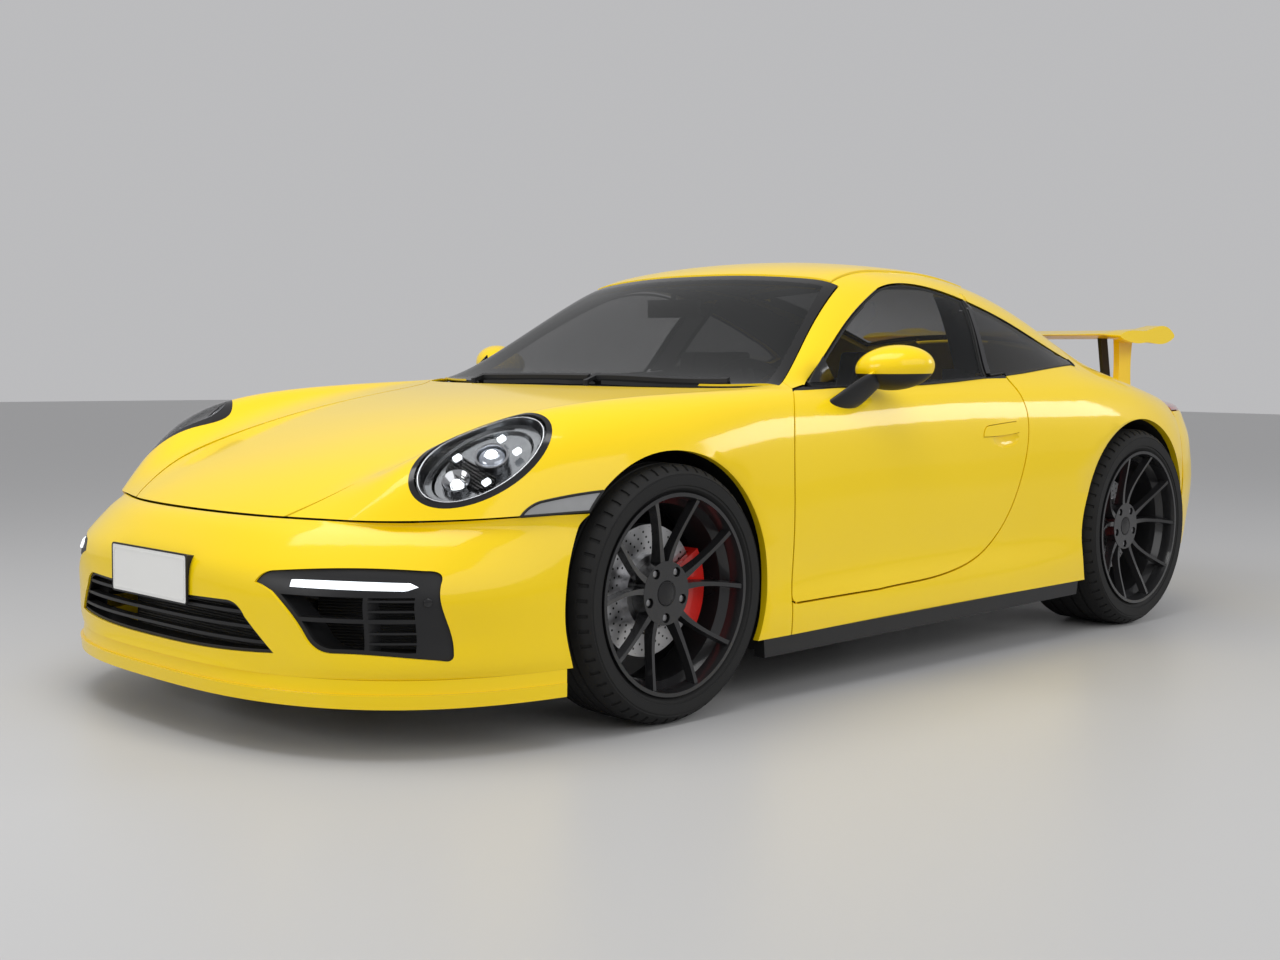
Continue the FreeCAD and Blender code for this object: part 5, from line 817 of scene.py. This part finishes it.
for vertex in dish.data.vertices:
    vertex.select = abs(vertex.co.z - dish_floor) < 1e-5
bpy.ops.object.mode_set(mode="EDIT")
bpy.ops.mesh.select_mode(type="VERT")
bpy.ops.mesh.edge_face_add()
bpy.ops.mesh.select_all(action="SELECT")
bpy.ops.mesh.normals_make_consistent(inside=False)
bpy.ops.object.mode_set(mode="OBJECT")
thickened(dish, 0.0016)
fit_lamp(dish, "lamp_dish", smoke_chrome, 25.0)

# bright trim ring on the dish's shoulder
bpy.ops.mesh.primitive_circle_add(vertices=ring_points, radius=0.1)
ring = bpy.context.object
for vertex, place in zip(ring.data.vertices, lamp_ring(0.955, 0.0095)):
    vertex.co = place
fit_lamp(corded(ring, 0.0022), "lamp_trim", chrome, 60.0)

projector_along, projector_wide, front_along, block_depth = -0.026, 0.004, 0.082, -0.018
lamp_part("projector_barrel", ((0.041, -0.040), (0.043, -0.012), (0.0425, -0.008), (0.0395, -0.0065),
                               (0.0365, -0.008), (0.0345, -0.020), (0.0340, -0.0395)),
          projector_along, projector_wide, chrome)
lamp_part("projector_lens", ((0.0001, -0.030), (0.0335, -0.030), (0.0335, -0.019), (0.0310, -0.0135),
                             (0.0250, -0.0085), (0.0170, -0.0052), (0.0085, -0.0035), (0.0001, -0.0030)),
          projector_along, projector_wide, lens_bead)
lamp_part("projector_light", ((0.0001, -0.0040), (0.0140, -0.0062), (0.0150, -0.0052), (0.0140, -0.0030),
                              (0.0080, -0.0012), (0.0001, -0.0004)),
          projector_along, projector_wide, lamp_beam, 32)
lamp_part("front_lamp_cup", ((0.035, -0.040), (0.036, -0.020), (0.0345, -0.0165), (0.0320, -0.018),
                             (0.0200, -0.034), (0.0100, -0.0395)), front_along, 0.0, chrome)
lamp_part("front_lamp_light", ((0.0001, -0.0385), (0.0110, -0.0370), (0.0125, -0.0300),
                               (0.0090, -0.0245), (0.0001, -0.0220)), front_along, 0.0, lamp_beam, 32)
for number, (along, wide) in enumerate(((-0.085, 0.030), (-0.085, -0.032), (0.034, 0.058), (0.034, -0.058))):
    block = soft_block((0.021, 0.015, 0.012), 0.003, 3)
    fit_lamp(block, "daytime_block_%d" % (number + 1), daytime_glow, place=(along, wide, block_depth))
for number in range(7):
    # the ribs get shorter away from the middle one
    rib = soft_block((0.0022, 0.150 - 0.012 * abs(number - 3), 0.012), 0.0006, 1)
    fit_lamp(rib, "lamp_rib_%d" % (number + 1), polished_black, place=(0.012 + 0.009 * number, 0.0, -0.031),
             turn=0.12)

# ---------------------------------------------------------------- radiators
# Finned aluminium coolers behind the side intakes and a black pack behind the middle one, hung in the
# bumper. The fins are rows of fine ridges.
cooler_fins = finish("cooler_fins", (0.008, 0.008, 0.008), (0.020, 0.020, 0.021), (0.45, 0.60), grain=300.0,
                     bump=0.3, depth=0.001, metallic=0.3)
tree = cooler_fins.node_tree
coordinates = tree.nodes.new("ShaderNodeTexCoord")
fins = tree.nodes.new("ShaderNodeTexWave")
fins.bands_direction = "Z"
fins.inputs["Scale"].default_value = 42.0
fins.inputs["Distortion"].default_value = 0.4
tree.links.new(coordinates.outputs["Object"], fins.inputs["Vector"])
relief = tree.nodes.new("ShaderNodeBump")
relief.inputs["Strength"].default_value = 0.9
relief.inputs["Distance"].default_value = 0.003
tree.links.new(fins.outputs["Fac"], relief.inputs["Height"])
tree.links.new(relief.outputs["Normal"], tree.nodes["Principled BSDF"].inputs["Normal"])
for name, place, turn, size in (("radiator_middle", (2.045, 0.0, 0.268), 0.0, (0.030, 0.86, 0.165)),
                                ("radiator_left", (1.925, 0.600, 0.305), 0.62, (0.030, 0.400, 0.235))):
    cooler = soft_block(size, 0.006, 3)
    cooler.location = place
    cooler.rotation_euler = (0.0, 0.0, turn)
    settle(cooler, name, cooler_fins, "body")
mirrored(bpy.data.objects["radiator_left"], "radiator_right")

# ---------------------------------------------------------------- parking sensors
# Round ultrasonic sensors of moulded plastic, pushed into the black frames of the front intakes, one
# on each side.
place, normal = touch(skin_of("intake_inserts"), (2.4, 1.37, 0.400), (-0.423, -0.587, -0.024))
bpy.ops.mesh.primitive_cylinder_add(vertices=36, radius=0.0105, depth=0.010)
sensor = bpy.context.object
rounded(sensor, 0.0012, 3)
sensor.matrix_world = Matrix.Translation(place) @ normal.to_track_quat("Z", "Y").to_matrix().to_4x4()
settle(sensor, "parking_sensor_left", polished_black, "body")
mirrored(sensor, "parking_sensor_right")

# ---------------------------------------------------------------- cabin linings
# Moulded and foamed dash, parcel shelf and wheel, with dark linings on the inner faces of the roof, the
# body sides and the doors, armrests and pockets on the doors, and a blank glass display on the dash.
cabin_skin = finish("cabin_skin", (0.012, 0.012, 0.013), (0.022, 0.022, 0.023), (0.55, 0.68), grain=650.0,
                    bump=0.3)
wheel_leather = finish("wheel_leather", (0.010, 0.010, 0.010), (0.020, 0.019, 0.018), (0.42, 0.55),
                       grain=900.0, bump=0.4, depth=0.0004)
for node in ("dashboard", "parcel_shelf"):
    dressed(node, cabin_skin)
dressed("steering_wheel", wheel_leather, 40.0)
mirror_body = dressed("cabin_mirror", polished_black, 35.0)
refinish(mirror_body, silvered_glass, lambda centre, normal: normal.x < -0.85 and abs(centre.y) < 0.108)

door_card, door_top, cabin_rear, cabin_front, lining_foot = 0.796, 0.86, -1.05, 0.80, 0.55
refinish(bpy.data.objects["roof_panel_skin"], cabin_skin, lambda centre, normal: normal.z < -0.25)
for side, sign in sides:
    door = bpy.data.objects["door_%s_skin" % side]
    cut_flat(door, (0.1, sign * door_card, 0.9), (0.0, 1.0, 0.0))
    refinish(bpy.data.objects["body_side_%s_skin" % side], cabin_skin,
             lambda centre, normal: (sign * normal.y < -0.35 and centre.z > lining_foot
                                     and cabin_rear < centre.x < cabin_front))
    refinish(door, cabin_skin,
             lambda centre, normal: (sign * centre.y < door_card
                                     or (sign * normal.y < -0.35 and sign * centre.y < door_top)))

display = soft_block((0.012, 0.275, 0.125), 0.004, 3)
display.location = (0.438, 0.0, 0.752)
display.rotation_euler = (0.0, 0.16, 0.0)
settle(display, "dash_display", polished_black, "body")

card_inset = 0.020
for side, sign in sides:
    card_skin = skin_of("door_" + side)
    for name, x, z, size in (("door_armrest_", 0.06, 0.600, (0.44, 0.070, 0.050)),
                             ("door_pocket_", 0.10, 0.370, (0.60, 0.060, 0.130))):
        place, _ = touch(card_skin, (x, 0.0, z), (0.0, sign, 0.0))
        rest = soft_block(size, 0.018, 4)
        rest.location = (x, place.y - sign * (size[1] / 2.0 - card_inset), z)
        settle(rest, name + side, cabin_skin, "door_" + side)


# ---------------------------------------------------------------- seats
# Foam on a hard shell under leather: side bolsters, cross channels sewn through the middle panels and
# a narrower headrest. Each is shaped from its own remeshed solid and stays inside it.
def groove(distance, width):
    """Depth profile of a sewn channel: 1 on the seam, 0 beyond its width."""
    return max(0.0, 1.0 - abs(distance) / width) ** 2


def padded_seat(node, name, sign, middle, panel, head_from=None):
    """One seat of a node: remeshed, softened, and pressed in along its seams. The head part is narrower."""
    seat = kept_part(node, name, seat_hide, lambda c: c.y * sign > 0.0, 60.0)
    only(seat)
    voxels = seat.modifiers.new("voxels", "REMESH")
    voxels.mode = "VOXEL"
    voxels.voxel_size = 0.0085
    voxels.use_smooth_shade = True
    bpy.ops.object.modifier_apply(modifier="voxels")
    soft = seat.modifiers.new("soft", "SMOOTH")
    soft.factor = 0.6
    soft.iterations = 9
    bpy.ops.object.modifier_apply(modifier="soft")
    places = []
    for vertex in seat.data.vertices:
        c, n = vertex.co.copy(), vertex.normal
        across = c.y - sign * middle
        depth = skin_drop
        if max(0.0, n.x) + max(0.0, n.z) > 0.5:
            run = (c.z - c.x) / channel_gap
            if abs(across) < panel:
                depth += channel_depth * groove((run - round(run)) * channel_gap, 0.011)
                depth += pad_swell * (0.5 - 0.5 * math.cos(math.tau * run))
            depth += bolster_depth * groove(abs(across) - panel, 0.010)
        shrink = 0.0
        if head_from and c.z > head_from:
            shrink = 0.40 * min(1.0, (c.z - head_from) / 0.035)
        moved = c - n * depth
        moved.y = sign * middle + (moved.y - sign * middle) * (1.0 - shrink)
        places.append(moved)
    for vertex, place in zip(seat.data.vertices, places):
        vertex.co = place
    bpy.ops.object.shade_smooth()


seat_hide = finish("seat_leather", (0.013, 0.013, 0.014), (0.026, 0.025, 0.025), (0.36, 0.50), grain=520.0,
                   bump=0.35, depth=0.0005, cloud=6.0)
channel_gap, channel_depth, bolster_depth, pad_swell, skin_drop = 0.062, 0.0055, 0.0075, 0.0020, 0.0015
for side, sign in sides:
    padded_seat("front_seats", "front_seat_" + side, sign, 0.3835, 0.115, 0.80)
    padded_seat("rear_seats", "rear_seat_" + side, sign, 0.335, 0.120)

# ---------------------------------------------------------------- engine lid grille and rear lights
# Black slats clipped into the lid under the rear window, and a red light band across the tail with
# a ribbed guide behind its cover.
slat_start, slat_gap, slat_depth, slat_lift, slat_rise = -1.395, 0.026, 0.012, 0.0012, 0.0020
lid_skin = skin_of("engine_lid")
for number in range(9):
    half_width = 0.36 - 0.008 * number
    bpy.ops.mesh.primitive_grid_add(x_subdivisions=1, y_subdivisions=28, size=1.0)
    slat = bpy.context.object
    for vertex in slat.data.vertices:
        x, y = slat_start - slat_gap * number + vertex.co.x * slat_depth, vertex.co.y * 2.0 * half_width
        place, _ = touch(lid_skin, (x, y, 1.6), (0.0, 0.0, -1.0))
        vertex.co = (x, y, place.z + slat_lift + slat_rise * (vertex.co.x + 0.5))
    thickened(slat, 0.003, 0.0)
    settle(slat, "lid_slat_%d" % (number + 1), black_plastic, "engine_lid")

lamp_red = lamp_glow("lamp_red", (0.42, 0.006, 0.008), 0.12)
dressed("tail_light", lamp_red, 35.0)
tree = lamp_red.node_tree
tree.nodes["Principled BSDF"].inputs["Coat Weight"].default_value = 1.0
coordinates = tree.nodes.new("ShaderNodeTexCoord")
ribs = tree.nodes.new("ShaderNodeTexWave")
ribs.bands_direction = "Z"
ribs.inputs["Scale"].default_value = 28.0
tree.links.new(coordinates.outputs["Object"], ribs.inputs["Vector"])
overlaid(lamp_red, ribs.outputs["Fac"], (0.16, 0.002, 0.003))
